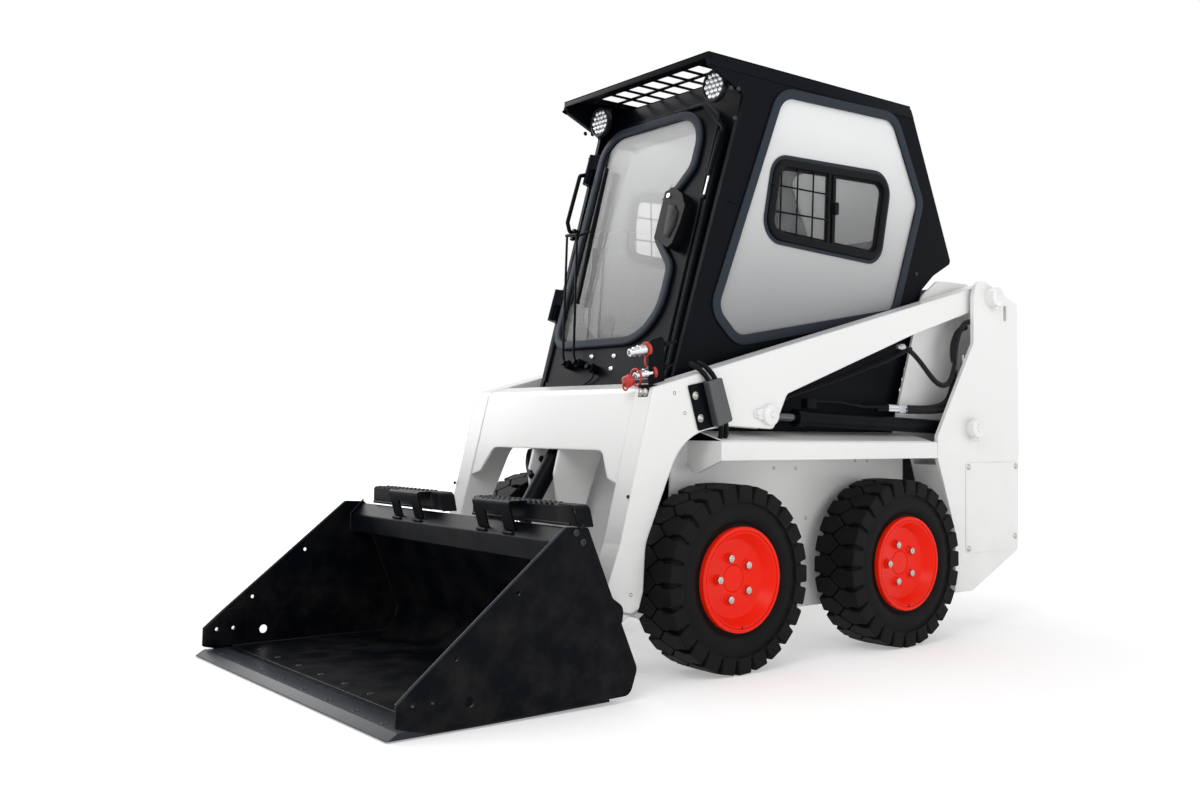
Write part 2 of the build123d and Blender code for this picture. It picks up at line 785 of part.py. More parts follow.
rear_slant = [  # y, share of the cab's height, round, up the rear of the cab
    (587, 0.0723, 0),
    (676, 0.2974, 60),
    (728, 0.4566, 60),
    (805, 0.5113, 30),
]
cheek_foot_z = roof_bottom_z - 93
cab_edge = [  # y, height, round
    (-385, panel_head, 0),
    (650, panel_head, 0),
    *on_cab([(912, 0.5579, 18)]),
    *on_cab(rear_slant[::-1]),
    (583, panel_foot, 0),
    (-440, panel_foot, 0),
    (-452, front_foot_z - 58, 30),
    (on_front(front_foot_z - 28), front_foot_z - 28, 4),
    (on_front(cheek_foot_z), cheek_foot_z, 12),
    (-375, roof_bottom_z - 23, 4),
]
window_edge = on_cab([
    (-43, 0.9469, 80),
    (539, 0.9582, 70),
    (697, 0.7267, 60),
    (568, 0.3915, 50),
    (-220, 0.2749, 70),
    (-318, 0.3465, 60),
])
slider_edge = on_cab([
    (-66, 0.7757, 70),
    (537, 0.7902, 70),
    (484, 0.5281, 70),
    (-110, 0.5506, 70),
])
lean = math.radians(front_slope)
door_head = (roof_bottom_z - front_foot_z) / math.cos(lean) - door_head_gap
foot_width = math.tan(math.radians(side_lean)) * (roof_bottom_z - front_foot_z)
door_half_x = cab_roof_x - foot_width - cab_wall - door_side_gap
hinge_x = -door_half_x - hinge_offset
hinge_places = [share * door_head for share in hinge_shares]
with BuildPart() as cab_side_left:
    with BuildSketch(flank(cab_wall)):
        outline(cab_edge)
        with BuildSketch(mode=Mode.SUBTRACT):
            outline(window_edge)
    extrude(amount=cab_wall)
save(cab_side_left, "cab_side_left")
with BuildPart() as cab_side_right:
    mirror(cab_side_left.part, about=Plane.YZ)
    for place in hinge_places:
        with BuildSketch(rising(place)):
            with Locations((hinge_x, hinge_depth)):
                Circle(hinge_knuckle)
            outline([
                (hinge_x - 10, hinge_depth, 0),
                (hinge_x + 18, hinge_depth + 3, 0),
                (hinge_x + 18, 12, 0),
                (hinge_x - 10, 12, 0),
            ])
        extrude(amount=-hinge_length)
        with BuildSketch(rising(place)):
            with Locations((hinge_x, hinge_depth)):
                Circle(hinge_pin)
        extrude(amount=hinge_length)
save(cab_side_right, "cab_side_right")

with BuildPart() as cab_roof:
    with BuildSketch(side(-cab_roof_x)):
        outline([
            (-385, roof_bottom_z, 0),
            (650, roof_bottom_z, 0),
            (645, roof_bottom_z + roof_sheet, 12),
            (-385, roof_bottom_z + roof_sheet, 8),
        ])
    extrude(amount=2 * cab_roof_x)
    with BuildSketch(level(roof_bottom_z)):
        with Locations((0, -172)):
            with GridLocations(81, 98, 7, 3):
                Rectangle(66, 82)
    extrude(amount=roof_sheet, mode=Mode.SUBTRACT)
save(cab_roof, "cab_roof")

rear_top = (645.0, roof_bottom_z - 1)
rear_low = (903.0, rail_top_z + 0.5539 * cab_height)
rear_window = (560.0, 330.0, 60.0)  # across, up, corner round
rear_slope = Plane(
    origin=(0, datum_y + (rear_top[0] + rear_low[0]) / 2, (rear_top[1] + rear_low[1]) / 2),
    x_dir=(-1, 0, 0),
    z_dir=(0, rear_top[1] - rear_low[1], rear_low[0] - rear_top[0]),
)
with BuildPart() as cab_rear:
    with BuildSketch(side(-cab_roof_x)):
        folded([
            (583, rail_top_z + 19, 0),
            *on_cab(rear_slant),
            (rear_low[0], rear_low[1], 10),
            (rear_top[0], rear_top[1], 0),
        ], cab_wall)
    extrude(amount=2 * cab_roof_x)
    with BuildSketch(rear_slope):
        RectangleRounded(*rear_window)
    extrude(amount=-cab_wall, mode=Mode.SUBTRACT)
    trim_between_sides()
save(cab_rear, "cab_rear")

frame_depth = door_thickness + frame_gap
frame_foot = -28.0
frame_head = (roof_bottom_z - front_foot_z + frame_depth * math.sin(lean)) / math.cos(lean)


def on_door(rows):
    """Rows of (x, distance up the slope, round) from shares of the door's half width and head."""
    return [(across * door_half_x, up * door_head, turn) for across, up, turn in rows]


opening_edge = on_door([
    (-0.931, 0.099, 60),
    (0.931, 0.099, 60),
    (0.931, 0.860, 40),
    (0.559, 0.969, 40),
    (-0.616, 0.969, 40),
    (-0.931, 0.870, 40),
])
glass_edge = on_door([
    (-0.911, 0.148, 50),
    (0.636, 0.148, 150),
    (0.636, 0.386, 60),
    (0.344, 0.495, 50),
    (0.350, 0.633, 60),
    (0.636, 0.752, 60),
    (0.636, 0.952, 130),
    (-0.911, 0.952, 90),
])
door_edge = [  # x, distance up the slope, round
    (-door_half_x, door_foot, 50),
    (door_half_x, door_foot, 50),
    *on_door([(1, 0.870, 60), (0.587, 1, 60), (-0.656, 1, 60), (-1, 0.890, 60)]),
]
with BuildPart() as cab_front:
    with BuildSketch(leaning(frame_depth)):
        outline([
            (-cab_roof_x, frame_foot, 0),
            (cab_roof_x, frame_foot, 0),
            (cab_roof_x, frame_head, 0),
            (-cab_roof_x, frame_head, 0),
        ])
        with BuildSketch(mode=Mode.SUBTRACT):
            outline(opening_edge)
    extrude(amount=-cab_wall)
    trim_between_sides()
save(cab_front, "cab_front")

floor_top_z = 800.0
floor_rear_y = 570.0
foot_well_y = -80.0
with BuildPart() as cab_floor:
    with BuildSketch(side(-cab_roof_x)):
        folded([(foot_well_y + plate, floor_top_z, 0), (floor_rear_y, floor_top_z, 0)], plate)
    extrude(amount=2 * cab_roof_x)
    trim_between_sides()
    with BuildSketch(side(-case_inner_x + 2)):
        folded([
            (-470, 869, 0),
            (-470, 500, 20),
            (foot_well_y, 500, 20),
            (foot_well_y, floor_top_z, 20),
            (foot_well_y + 60, floor_top_z, 0),
        ], plate)
    extrude(amount=2 * case_inner_x - 4)
save(cab_floor, "cab_floor")

with BuildPart() as cab_glass:
    with BuildSketch(flank((cab_wall + glass_thickness) / 2)):
        outline(window_edge)
        with BuildSketch(mode=Mode.SUBTRACT):
            outline(slider_edge)
    extrude(amount=glass_thickness)
    mirror(about=Plane.YZ)
    with BuildSketch(rear_slope.offset(-cab_wall / 2)):
        RectangleRounded(*rear_window)
    extrude(amount=glass_thickness)
save(cab_glass, "cab_glass")

slider_bar = 30.0
slider_thickness = 18.0
with BuildPart() as slider_frames:
    with BuildSketch(flank((cab_wall + slider_thickness) / 2)):
        outline(slider_edge)
        offset(amount=-slider_bar, mode=Mode.SUBTRACT)
        with BuildSketch(mode=Mode.PRIVATE) as mullion:
            with Locations((217, rail_top_z + 0.6608 * cab_height)):
                Rectangle(44, 0.233 * cab_height)
        add(mullion.sketch)
    extrude(amount=slider_thickness)
    mirror(about=Plane.YZ)
save(slider_frames, "slider_frames")

with BuildPart() as seat:
    with BuildSketch(side(-230)):
        outline([(20, 812, 20), (480, 812, 10), (480, 930, 10), (20, 950, 40)])
        outline([(400, 900, 10), (500, 900, 10), (590, 1400, 40), (500, 1420, 40), (410, 960, 10)])
    extrude(amount=460)
    with BuildSketch(level(floor_top_z + plate)):
        with Locations((0, 250)):
            Rectangle(300, 300)
    extrude(amount=10)
save(seat, "seat")

with BuildPart() as levers:
    for lever_x in (-235, 235):
        with BuildSketch(level(508)):
            with Locations((lever_x, -250)):
                RectangleRounded(50, 90, 10)
        extrude(amount=60)
        with BuildSketch(level(560)):
            with Locations((lever_x, -250)):
                Circle(9)
        extrude(amount=420)
        with BuildSketch(level(960)):
            with Locations((lever_x, -250)):
                Circle(18)
        extrude(amount=130)
save(levers, "control_levers")

lamp_radius = 54.0
with BuildPart() as lamps:
    for lamp_x in (-319, 319):
        with BuildSketch(front(-285)):
            with Locations((lamp_x, roof_bottom_z - lamp_radius - 2)):
                Circle(lamp_radius)
        extrude(amount=-40)
        with BuildSketch(front(-270)):
            with Locations((lamp_x, roof_bottom_z - 35)):
                Rectangle(30, 70)
        extrude(amount=-10)
save(lamps, "work_lamps")

# ------------------------------------------------------------------ cab door
with BuildPart() as door_frame:
    with BuildSketch(leaning(door_thickness)):
        outline(door_edge)
        with BuildSketch(mode=Mode.SUBTRACT):
            outline(glass_edge)
    extrude(amount=door_thickness)
    for place in hinge_places:
        with BuildSketch(rising(place + running_gap)):
            outline([
                (-door_half_x + 49, 0, 0),
                (-door_half_x + 49, -6, 0),
                (-door_half_x + 4, -6, 0),
                (hinge_x, hinge_depth - 7, 0),
                (hinge_x, hinge_depth + 7, 0),
                (-door_half_x - 2, 0, 0),
            ])
            with Locations((hinge_x, hinge_depth)):
                Circle(hinge_knuckle)
                Circle(hinge_pin + running_gap, mode=Mode.SUBTRACT)
        extrude(amount=hinge_length)
save(door_frame, "door_frame")

with BuildPart() as door_glass:
    with BuildSketch(leaning(door_thickness / 2)):
        outline(glass_edge)
    extrude(amount=glass_thickness)
save(door_glass, "door_glass")

latch_edge = on_door([
    (0.458, 0.651, 8),
    (0.573, 0.663, 8),
    (0.728, 0.631, 20),
    (0.817, 0.582, 20),
    (0.802, 0.521, 20),
    (0.754, 0.453, 10),
    (0.693, 0.440, 8),
    (0.456, 0.481, 8),
])
latch_depth = 45.0
with BuildPart() as door_fittings:
    with BuildSketch(leaning(0)):
        outline(latch_edge)
    extrude(amount=latch_depth)
save(door_fittings, "door_fittings")
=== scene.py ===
# %% [markdown]
# A small skid steer loader is dressed here: painted steel plates, solid tyres, a glazed cab.
# Its solids come ready from the CAD model, in place and at real size. They could be modelled
# again, but then the two would drift apart, so they are loaded as a fixed frame and everything
# made below is placed from their sizes.
# %% Load the frame
import json
import math

import bmesh
import bpy
from mathutils import Matrix, Vector


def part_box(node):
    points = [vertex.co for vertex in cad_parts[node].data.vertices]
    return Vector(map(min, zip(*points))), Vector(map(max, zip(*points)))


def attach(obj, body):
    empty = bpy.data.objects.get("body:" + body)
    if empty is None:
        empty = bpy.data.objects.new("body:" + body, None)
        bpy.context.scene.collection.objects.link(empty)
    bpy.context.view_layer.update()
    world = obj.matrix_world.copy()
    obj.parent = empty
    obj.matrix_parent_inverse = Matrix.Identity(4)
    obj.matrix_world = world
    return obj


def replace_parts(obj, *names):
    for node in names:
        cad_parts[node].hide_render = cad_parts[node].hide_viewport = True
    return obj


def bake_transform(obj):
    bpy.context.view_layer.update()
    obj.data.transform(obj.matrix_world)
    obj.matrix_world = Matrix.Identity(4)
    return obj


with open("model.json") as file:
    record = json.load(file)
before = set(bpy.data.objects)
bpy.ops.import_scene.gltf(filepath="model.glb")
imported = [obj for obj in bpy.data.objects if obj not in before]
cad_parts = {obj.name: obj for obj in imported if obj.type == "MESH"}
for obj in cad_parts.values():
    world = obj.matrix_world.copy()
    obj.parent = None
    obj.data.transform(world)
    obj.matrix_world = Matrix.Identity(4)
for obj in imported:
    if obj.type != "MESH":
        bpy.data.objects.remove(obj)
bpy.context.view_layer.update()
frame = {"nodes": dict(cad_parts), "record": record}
nodes = frame["nodes"]
mm = 0.001

# %% [markdown]
# Side views of a machine are drawn from one datum. Here it is the middle of the wheelbase,
# so a row (y, z) of a side view is moved back by its distance from the origin. The axles are
# found from the tyres' own boxes, so the datum follows when the wheels move.
# %% Datum
tyre_low, tyre_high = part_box("tyre_front_left")
rear_low, rear_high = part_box("tyre_rear_left")
axle_z = (tyre_low.z + tyre_high.z) / 2
front_axle_y = (tyre_low.y + tyre_high.y) / 2
rear_axle_y = (rear_low.y + rear_high.y) / 2
datum_y = (front_axle_y + rear_axle_y) / 2
print("datum", round(datum_y, 4), "axle height", round(axle_z, 4))

# %% [markdown]
# Most pieces of this machine are flat plates, and a plate is easiest to read in its own
# drawing. A matrix stands for each drawing plane: the side, front and plan views, the leaning
# cab front and the cab's flank. Turning whole objects would do it too, but then their places
# would have to be applied.
# %% Drawing planes
cab_lean = math.radians(16)
cab_foot = Vector((0, datum_y - 0.495, 0.908))
side_lean = math.radians(2)
roof_low, roof_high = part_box("cab_roof")
AT_ORIGIN = Matrix.Identity(4)


def axes(origin, across, up):
    """Matrix whose first two columns run across and up, with the third out of the drawing."""
    across, up = Vector(across).normalized(), Vector(up).normalized()
    out = across.cross(up)
    place = Matrix((across, up, out)).transposed().to_4x4()
    place.translation = Vector(origin)
    return place


def side(x):
    """Side view at x: rows are (y from the datum, z), depth runs to the machine's left."""
    return axes((x, datum_y, 0), (0, 1, 0), (0, 0, 1))


def front(y):
    """Front view: rows are (x, z), depth runs forward."""
    return axes((0, datum_y + y, 0), (1, 0, 0), (0, 0, 1))


def level(z):
    """Plan: rows are (x, y from the datum), depth runs up."""
    return axes((0, datum_y, z), (1, 0, 0), (0, 1, 0))


def leaning(depth):
    """Plane of the cab front, depth behind the door's face: rows are (x, distance up)."""
    up = Vector((0, math.sin(cab_lean), math.cos(cab_lean)))
    back = Vector((0, math.cos(cab_lean), -math.sin(cab_lean)))
    return axes(cab_foot + back * depth, (1, 0, 0), up)


def flank(inset):
    """Plane of the cab's left side, inset from its face: rows are (y from the datum, height)."""
    up = Vector((math.sin(side_lean), 0, math.cos(side_lean)))
    out = Vector((math.cos(side_lean), 0, -math.sin(side_lean)))
    origin = Vector((roof_high.x, datum_y, roof_low.z)) - up * roof_low.z - out * inset
    return axes(origin, (0, 1, 0), up)


def at(*rows):
    """Points in metres from rows of (x, y from the datum, z) in millimetres."""
    return [Vector((x, datum_y / mm + y, z)) * mm for x, y, z in rows]


def on(place, *rows):
    """Points in metres from rows of (across, up, out) in millimetres on a plane."""
    return [place @ (Vector(row) * mm) for row in rows]


print("the cab front leans", round(math.degrees(cab_lean)), "degrees back")

# %% [markdown]
# The camera stands low, in front of the machine's left corner. A camera that looks up makes
# upright edges lean together. Here it looks almost level, and its lens is shifted a little
# instead, as on a view camera, so upright edges stay nearly upright.
# %% Camera
sensor_mm = 36
heading, pitch, roll = math.radians(51.208), math.radians(2.9275), math.radians(0.573)
camera_place = (3.2559, datum_y - 2.9471, 0.746)
camera_data = bpy.data.cameras.new("camera")
camera_data.sensor_width = sensor_mm
camera_data.lens = 0.9969 * sensor_mm
camera_data.shift_x = -0.03335
camera_data.shift_y = -0.029267
camera = bpy.data.objects.new("camera", camera_data)
ahead = Vector((-math.sin(heading) * math.cos(pitch), math.cos(heading) * math.cos(pitch),
                math.sin(pitch)))
right = Vector((math.cos(heading), math.sin(heading), 0))
above = right.cross(ahead)
camera_right = right * math.cos(roll) + above * math.sin(roll)
camera_up = above * math.cos(roll) - right * math.sin(roll)
camera.matrix_world = axes(camera_place, camera_right, camera_up)
bpy.context.collection.objects.link(camera)
bpy.context.scene.camera = camera
print("lens", round(camera_data.lens, 1), "mm")

# %% [markdown]
# Node trees for the room, for shapes and for finishes are all built the same way: a node is
# added, its sockets get a value or the output of another node, and its settings are set. One
# helper does that for all of them.
# %% Nodes and materials
def add(tree, kind, inputs=(), **settings):
    """New node in a tree. Inputs are socket names or numbers with values or outputs."""
    item = tree.nodes.new(kind)
    for label, value in settings.items():
        setattr(item, label, value)
    for socket, value in dict(inputs).items():
        if isinstance(value, bpy.types.NodeSocket):
            tree.links.new(value, item.inputs[socket])
        else:
            item.inputs[socket].default_value = value
    return item


def shader(name):
    """New node material with its Principled shader."""
    material = bpy.data.materials.new(name)
    material.use_nodes = True
    return material, material.node_tree.nodes["Principled BSDF"]


print("helpers", add.__name__, shader.__name__)

# %% [markdown]
# A machine is shown in a studio with white walls. A real room of white panels would need many
# bounces of light, so the world does its work: the camera, glass and gloss see plain white,
# while the light that the world throws on the machine is weaker.
# %% Room
scene = bpy.context.scene
scene.view_settings.view_transform = "Standard"
room_light = 0.5
world = bpy.data.worlds.new("room")
scene.world = world
world.use_nodes = True
room = world.node_tree
lit = room.nodes["Background"]
lit.inputs["Color"].default_value = (1, 1, 1, 1)
lit.inputs["Strength"].default_value = room_light
seen_white = add(room, "ShaderNodeBackground", {"Color": (1, 1, 1, 1)})
rays = add(room, "ShaderNodeLightPath").outputs
camera_or_gloss = add(room, "ShaderNodeMath", {
    0: rays["Is Camera Ray"], 1: rays["Is Glossy Ray"]}, operation="MAXIMUM")
seen_ray = add(room, "ShaderNodeMath", {
    0: camera_or_gloss.outputs[0], 1: rays["Is Transmission Ray"]}, operation="MAXIMUM")
choose = add(room, "ShaderNodeMixShader", {
    0: seen_ray.outputs[0], 1: lit.outputs[0], 2: seen_white.outputs[0]})
room.links.new(choose.outputs[0], room.nodes["World Output"].inputs["Surface"])
print("room light", room_light)

# %% [markdown]
# Three large soft panels model the form: a key from the left front, a fill from the side and a
# top light. Small lamps would draw hard shadows. A fourth panel only shows in gloss: it gives
# the black bucket and cab their sheen without lighting the white paint any more.
# %% Lamps
def panel_lamp(name, place, aim, size, power):
    """Soft square lamp that faces a point."""
    data = bpy.data.lights.new(name, "AREA")
    data.size = size
    data.energy = power
    lamp = bpy.data.objects.new(name, data)
    lamp.location = place
    lamp.rotation_mode = "QUATERNION"
    lamp.rotation_quaternion = (Vector(aim) - Vector(place)).to_track_quat("-Z", "Y")
    bpy.context.collection.objects.link(lamp)
    return lamp


panel_lamp("key_panel", (3.2, -4.5, 4.6), (0, 0, 0.8), size=3.0, power=128)
panel_lamp("fill_panel", (5.2, 1.8, 2.6), (0, 0.2, 0.9), size=3.0, power=44)
panel_lamp("top_panel", (-1.2, 0.2, 5.2), (0, 0, 0), size=3.5, power=84)
sheen_lamp = panel_lamp("sheen_panel", (-4.6, -1.4, 3.4), (0, -0.4, 0.9), size=3.4, power=150)
sheen_lamp.visible_diffuse = False

# %% [markdown]
# The floor is one white sheet that runs into the white room without an edge. A curved backdrop
# could do it, but its bend shows. Here the sheet glows a little, more with distance, so it is
# pure white far out and still takes the machine's shadow near the wheels.
# %% Floor
floor_half = 30
floor_mesh = bpy.data.meshes.new("floor")
floor_mesh.from_pydata([(a * floor_half, b * floor_half, 0)
                        for a, b in ((-1, -1), (1, -1), (1, 1), (-1, 1))], [], [(0, 1, 2, 3)])
floor = bpy.data.objects.new("floor", floor_mesh)
bpy.context.collection.objects.link(floor)
floor_paint, floor_shader = shader("studio_floor")
for label, value in (("Base Color", (0.8, 0.8, 0.8, 1)), ("Roughness", 0.6),
                     ("Specular IOR Level", 0.0), ("Emission Color", (1, 1, 1, 1))):
    floor_shader.inputs[label].default_value = value
floor_tree = floor_paint.node_tree
from_middle = add(floor_tree, "ShaderNodeVectorMath", {
    0: add(floor_tree, "ShaderNodeTexCoord").outputs["Object"]}, operation="LENGTH")
fade = add(floor_tree, "ShaderNodeMapRange", {
    "Value": from_middle.outputs["Value"], "From Min": 1.4, "From Max": 5.0,
    "To Min": 0.34, "To Max": 1.0}, interpolation_type="SMOOTHSTEP")
floor_tree.links.new(fade.outputs[0], floor_shader.inputs["Emission Strength"])
floor.data.materials.append(floor_paint)
print("floor", 2 * floor_half, "m wide")

# %% [markdown]
# Steel plates have cut outlines with rounded corners. A row of such an outline is its place
# and its corner round in millimetres, so a drawing can be read straight off the machine. The
# rounds are worked out here rather than bevelled afterwards, because each corner has its own.
# %% Outlines
def corner_arc(before, here, after, turn):
    """Centre of a corner's round, and the arms from it to where it starts and stops."""
    arrive, leave = (before - here).normalized(), (after - here).normalized()
    half = arrive.angle(leave) / 2
    centre = here + (arrive + leave).normalized() * (turn / math.sin(half))
    start = here + arrive * (turn / math.tan(half)) - centre
    stop = here + leave * (turn / math.tan(half)) - centre
    return centre, start, stop


def rounded(rows, steps=6):
    """Outline in metres from rows of (across, up, corner round) in millimetres."""
    corners = [Vector(row[:2]) * mm for row in rows]
    outline = []
    before_after = zip(corners, corners[-1:] + corners[:-1], corners[1:] + corners[:1], rows)
    for here, before, after, row in before_after:
        if row[2] <= 0:
            outline.append(here)
            continue
        centre, start, stop = corner_arc(before, here, after, row[2] * mm)
        turn = math.atan2(start.x * stop.y - start.y * stop.x, start.dot(stop))
        for step in range(steps + 1):
            outline.append(centre + Matrix.Rotation(turn * step / steps, 2) @ start)
    return outline


def widened(outline, amount):
    """The same outline moved outwards by millimetres, or inwards where negative."""
    after = outline[1:] + outline[:1]
    doubled_area = sum(a.x * b.y - a.y * b.x for a, b in zip(outline, after))
    moved = []
    for before, here, later in zip(outline[-1:] + outline[:-1], outline, after):
        arrive, leave = (here - before).normalized(), (later - here).normalized()
        middle = (arrive + leave).normalized()
        out = Vector((middle.y, -middle.x)) * math.copysign(1, doubled_area)
        moved.append(here + out * (amount * mm / max(middle.dot(arrive), 0.3)))
    return moved


def circle(across, up, radius, steps=32):
    """Round outline in metres from millimetres."""
    turns = [math.tau * step / steps for step in range(steps)]
    return [Vector((across + radius * math.cos(t), up + radius * math.sin(t))) * mm
            for t in turns]


print("a plate with four rounds has", len(rounded([(0, 0, 9), (99, 0, 9), (99, 99, 9),
                                                  (0, 99, 9)])), "points")

# %% [markdown]
# A plate is an outline with a thickness, perhaps with holes and with eased edges. It could be
# a face, extruded, cut and bevelled. A filled curve does the same in one go: its first line is
# the edge, the others are holes, and its bevel eases the edges, so no boolean is needed.
# %% Plates and blocks
def tidy(mesh):
    """Merges double points and turns all faces outwards."""
    shape = bmesh.new()
    shape.from_mesh(mesh)
    bmesh.ops.remove_doubles(shape, verts=shape.verts, dist=1e-6)
    bmesh.ops.recalc_face_normals(shape, faces=shape.faces)
    shape.to_mesh(mesh)
    shape.free()
    return mesh


def plain_mesh(source, place=None):
    """Mesh of a curve or an object with modifiers, moved to its place. The source goes."""
    holder = source
    if not isinstance(source, bpy.types.Object):
        holder = bpy.data.objects.new("source", source)
    if holder.name not in scene.collection.all_objects:
        scene.collection.objects.link(holder)
    bpy.context.view_layer.update()
    seen = holder.evaluated_get(bpy.context.evaluated_depsgraph_get())
    mesh = bpy.data.meshes.new_from_object(seen)
    bpy.data.objects.remove(holder)
    tidy(mesh)
    if place is not None:
        mesh.transform(place)
    return mesh


def plate(outlines, thickness, place, bevel=0.8, rounds=2):
    """Plate of a thickness in millimetres. The first outline is its edge, the others holes."""
    curve = bpy.data.curves.new("plate", "CURVE")
    curve.dimensions = "2D"
    curve.fill_mode = "BOTH"
    curve.bevel_resolution = rounds
    curve.bevel_depth = bevel * mm
    curve.offset = -bevel * mm
    curve.extrude = (thickness / 2 - bevel) * mm
    for outline in outlines:
        spline = curve.splines.new("POLY")
        spline.points.add(len(outline) - 1)
        for point, spot in zip(spline.points, outline):
            point.co = (spot.x, spot.y, 0, 1)
        spline.use_cyclic_u = True
    return plain_mesh(curve, place @ Matrix.Translation((0, 0, thickness / 2 * mm)))


def block(across, up, width, height, thickness, place, turn=4, bevel=1.0):
    """Rounded block by its middle and sizes in millimetres."""
    rows = [(across + width / 2 * a, up + height / 2 * b, turn)
            for a, b in ((-1, -1), (1, -1), (1, 1), (-1, 1))]
    return plate([rounded(rows, 3)], thickness, place, bevel)


print("helpers", plate.__name__, block.__name__)

# %% [markdown]
# Rims, tyres, pins, nuts and lamps are turned: a half section swept round an axis. The Screw
# modifier can do that. Rings of points are just as short, and they close the poles, so no
# doubles are left in the middle of a dome.
# %% Turned parts
def turned(profile, place, steps=96):
    """Part turned round Z from rows of (radius, along) in millimetres."""
    shape = bmesh.new()
    rings = []
    for radius, along in profile:
        count = steps if radius > 0.01 else 1
        rings.append([
            shape.verts.new((radius * mm * math.cos(math.tau * step / count),
                             radius * mm * math.sin(math.tau * step / count), along * mm))
            for step in range(count)
        ])
    closing = rings[:1] if profile[0][0] > 0.01 else []
    for low, high in zip(rings, rings[1:] + closing):
        for step in range(steps if len(low) + len(high) > 2 else 0):
            corners = [low[step % len(low)], low[(step + 1) % steps % len(low)],
                       high[(step + 1) % steps % len(high)], high[step % len(high)]]
            shape.faces.new(list(dict.fromkeys(corners)))
    bmesh.ops.recalc_face_normals(shape, faces=shape.faces)
    mesh = bpy.data.meshes.new("turned")
    shape.to_mesh(mesh)
    shape.free()
    mesh.transform(place)
    return mesh


print("helper", turned.__name__)

# %% [markdown]
# Handles and steel lines are tubes bent with one radius at each corner, while hoses bend
# smoothly all along. Both are curves with a round bevel. Only their points differ: arcs are
# worked out for a bent tube, and a hose gets a smooth curve through a few points.
# %% Tubes and hoses
def line_curve(points, smooth):
    """Curve through points in metres, smooth as a hose or straight from point to point."""
    curve = bpy.data.curves.new("line", "CURVE")
    curve.dimensions = "3D"
    spline = curve.splines.new("NURBS" if smooth else "POLY")
    spline.points.add(len(points) - 1)
    for point, spot in zip(spline.points, points):
        point.co = (*spot, 1)
    if smooth:
        spline.order_u = 4
        spline.use_endpoint_u = True
        spline.resolution_u = 8
    return curve


def bent(points, turn, steps=6):
    """Points of a tube bent at each corner with one radius in millimetres."""
    spots = [Vector(point) for point in points]
    path = [spots[0]]
    for before, here, after in zip(spots, spots[1:], spots[2:]):
        centre, start, stop = corner_arc(before, here, after, turn * mm)
        path += [centre + start.slerp(stop, step / steps) * turn * mm
                 for step in range(steps + 1)]
    return path + [spots[-1]]


def tube(points, radius, smooth=False, sides=3):
    """Round tube of a radius in millimetres along points in metres."""
    curve = line_curve(points, smooth)
    curve.bevel_depth = radius * mm
    curve.bevel_resolution = sides
    curve.use_fill_caps = True
    return plain_mesh(curve)


print("a square corner bends over", len(bent([(0, 0, 0), (1, 0, 0), (1, 1, 0)], 30)), "points")

# %% [markdown]
# A finished mesh still needs its finish, its shading and the body that it moves with. One
# helper does all three, and finishes are kept by name for it. Many pieces come in a left and a
# right one. A Mirror modifier would join them in one object, so the mesh is mirrored instead.
# %% Pieces
finishes = {}
made = []


def joined(*meshes):
    """One mesh from several."""
    shape = bmesh.new()
    for mesh in meshes:
        shape.from_mesh(mesh)
        bpy.data.meshes.remove(mesh)
    whole = bpy.data.meshes.new("joined")
    shape.to_mesh(whole)
    shape.free()
    return whole


def mirrored(mesh):
    """Copy of a mesh on the machine's other side."""
    other = mesh.copy()
    other.transform(Matrix.Scale(-1, 4, (1, 0, 0)))
    other.flip_normals()
    return other


def dressed(mesh, name, body, slot, finish=None, sharp=32):
    """Piece from a finished mesh: it rides on a body and takes a slot's finish."""
    mesh.materials.clear()
    mesh.materials.append(finishes[finish or slot])
    mesh.polygons.foreach_set("use_smooth", [True] * len(mesh.polygons))
    mesh.set_sharp_from_angle(angle=math.radians(sharp))
    piece = bpy.data.objects.new(name, mesh)
    scene.collection.objects.link(piece)
    if isinstance(body, str):
        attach(piece, body)
    else:
        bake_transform(piece)
    made.append(name)
    return piece


def pair(mesh, name, body, slot, finish=None, sharp=32):
    """The same piece on the machine's left and right, on a body or its left and right ones."""
    other = mirrored(mesh)
    left = dressed(mesh, f"{name}_left", body, slot, finish, sharp)
    right = dressed(other, f"{name}_right", body.replace("_left", "_right"), slot, finish, sharp)
    return left, right


print("pieces so far", len(made))

# %% [markdown]
# What repeats is grown by small node trees, so that a count or a spacing is one number. An
# Array modifier can set rows too, but not turn each copy to its own direction. Every tree has
# named inputs, makes its copies real and gives them one material at its end.
# %% Building trees
def new_tree(name, inputs):
    """Geometry tree with named inputs. Returns it with its input and output nodes."""
    tree = bpy.data.node_groups.new(name, "GeometryNodeTree")
    tree.is_modifier = True
    sockets = [("Geometry", "NodeSocketGeometry", None)] + list(inputs)
    for label, kind, value in sockets:
        socket = tree.interface.new_socket(label, in_out="INPUT", socket_type=kind)
        if value is not None:
            socket.default_value = value
    tree.interface.new_socket("Geometry", in_out="OUTPUT", socket_type="NodeSocketGeometry")
    return tree, tree.nodes.new("NodeGroupInput").outputs, tree.nodes.new("NodeGroupOutput")


def end_tree(tree, end, geometry, material):
    """Makes the copies real, gives them the material input and ends the tree."""
    real = add(tree, "GeometryNodeRealizeInstances", {"Geometry": geometry})
    paint = add(tree, "GeometryNodeSetMaterial", {"Geometry": real.outputs[0],
                                                 "Material": material})
    tree.links.new(paint.outputs[0], end.inputs[0])


def copies(tree, points, shape, rotation=None):
    """Copies of a shape object at points."""
    info = add(tree, "GeometryNodeObjectInfo", {"Object": shape})
    inputs = {"Points": points, "Instance": info.outputs["Geometry"]}
    if rotation is not None:
        inputs["Rotation"] = rotation
    return add(tree, "GeometryNodeInstanceOnPoints", inputs).outputs[0]


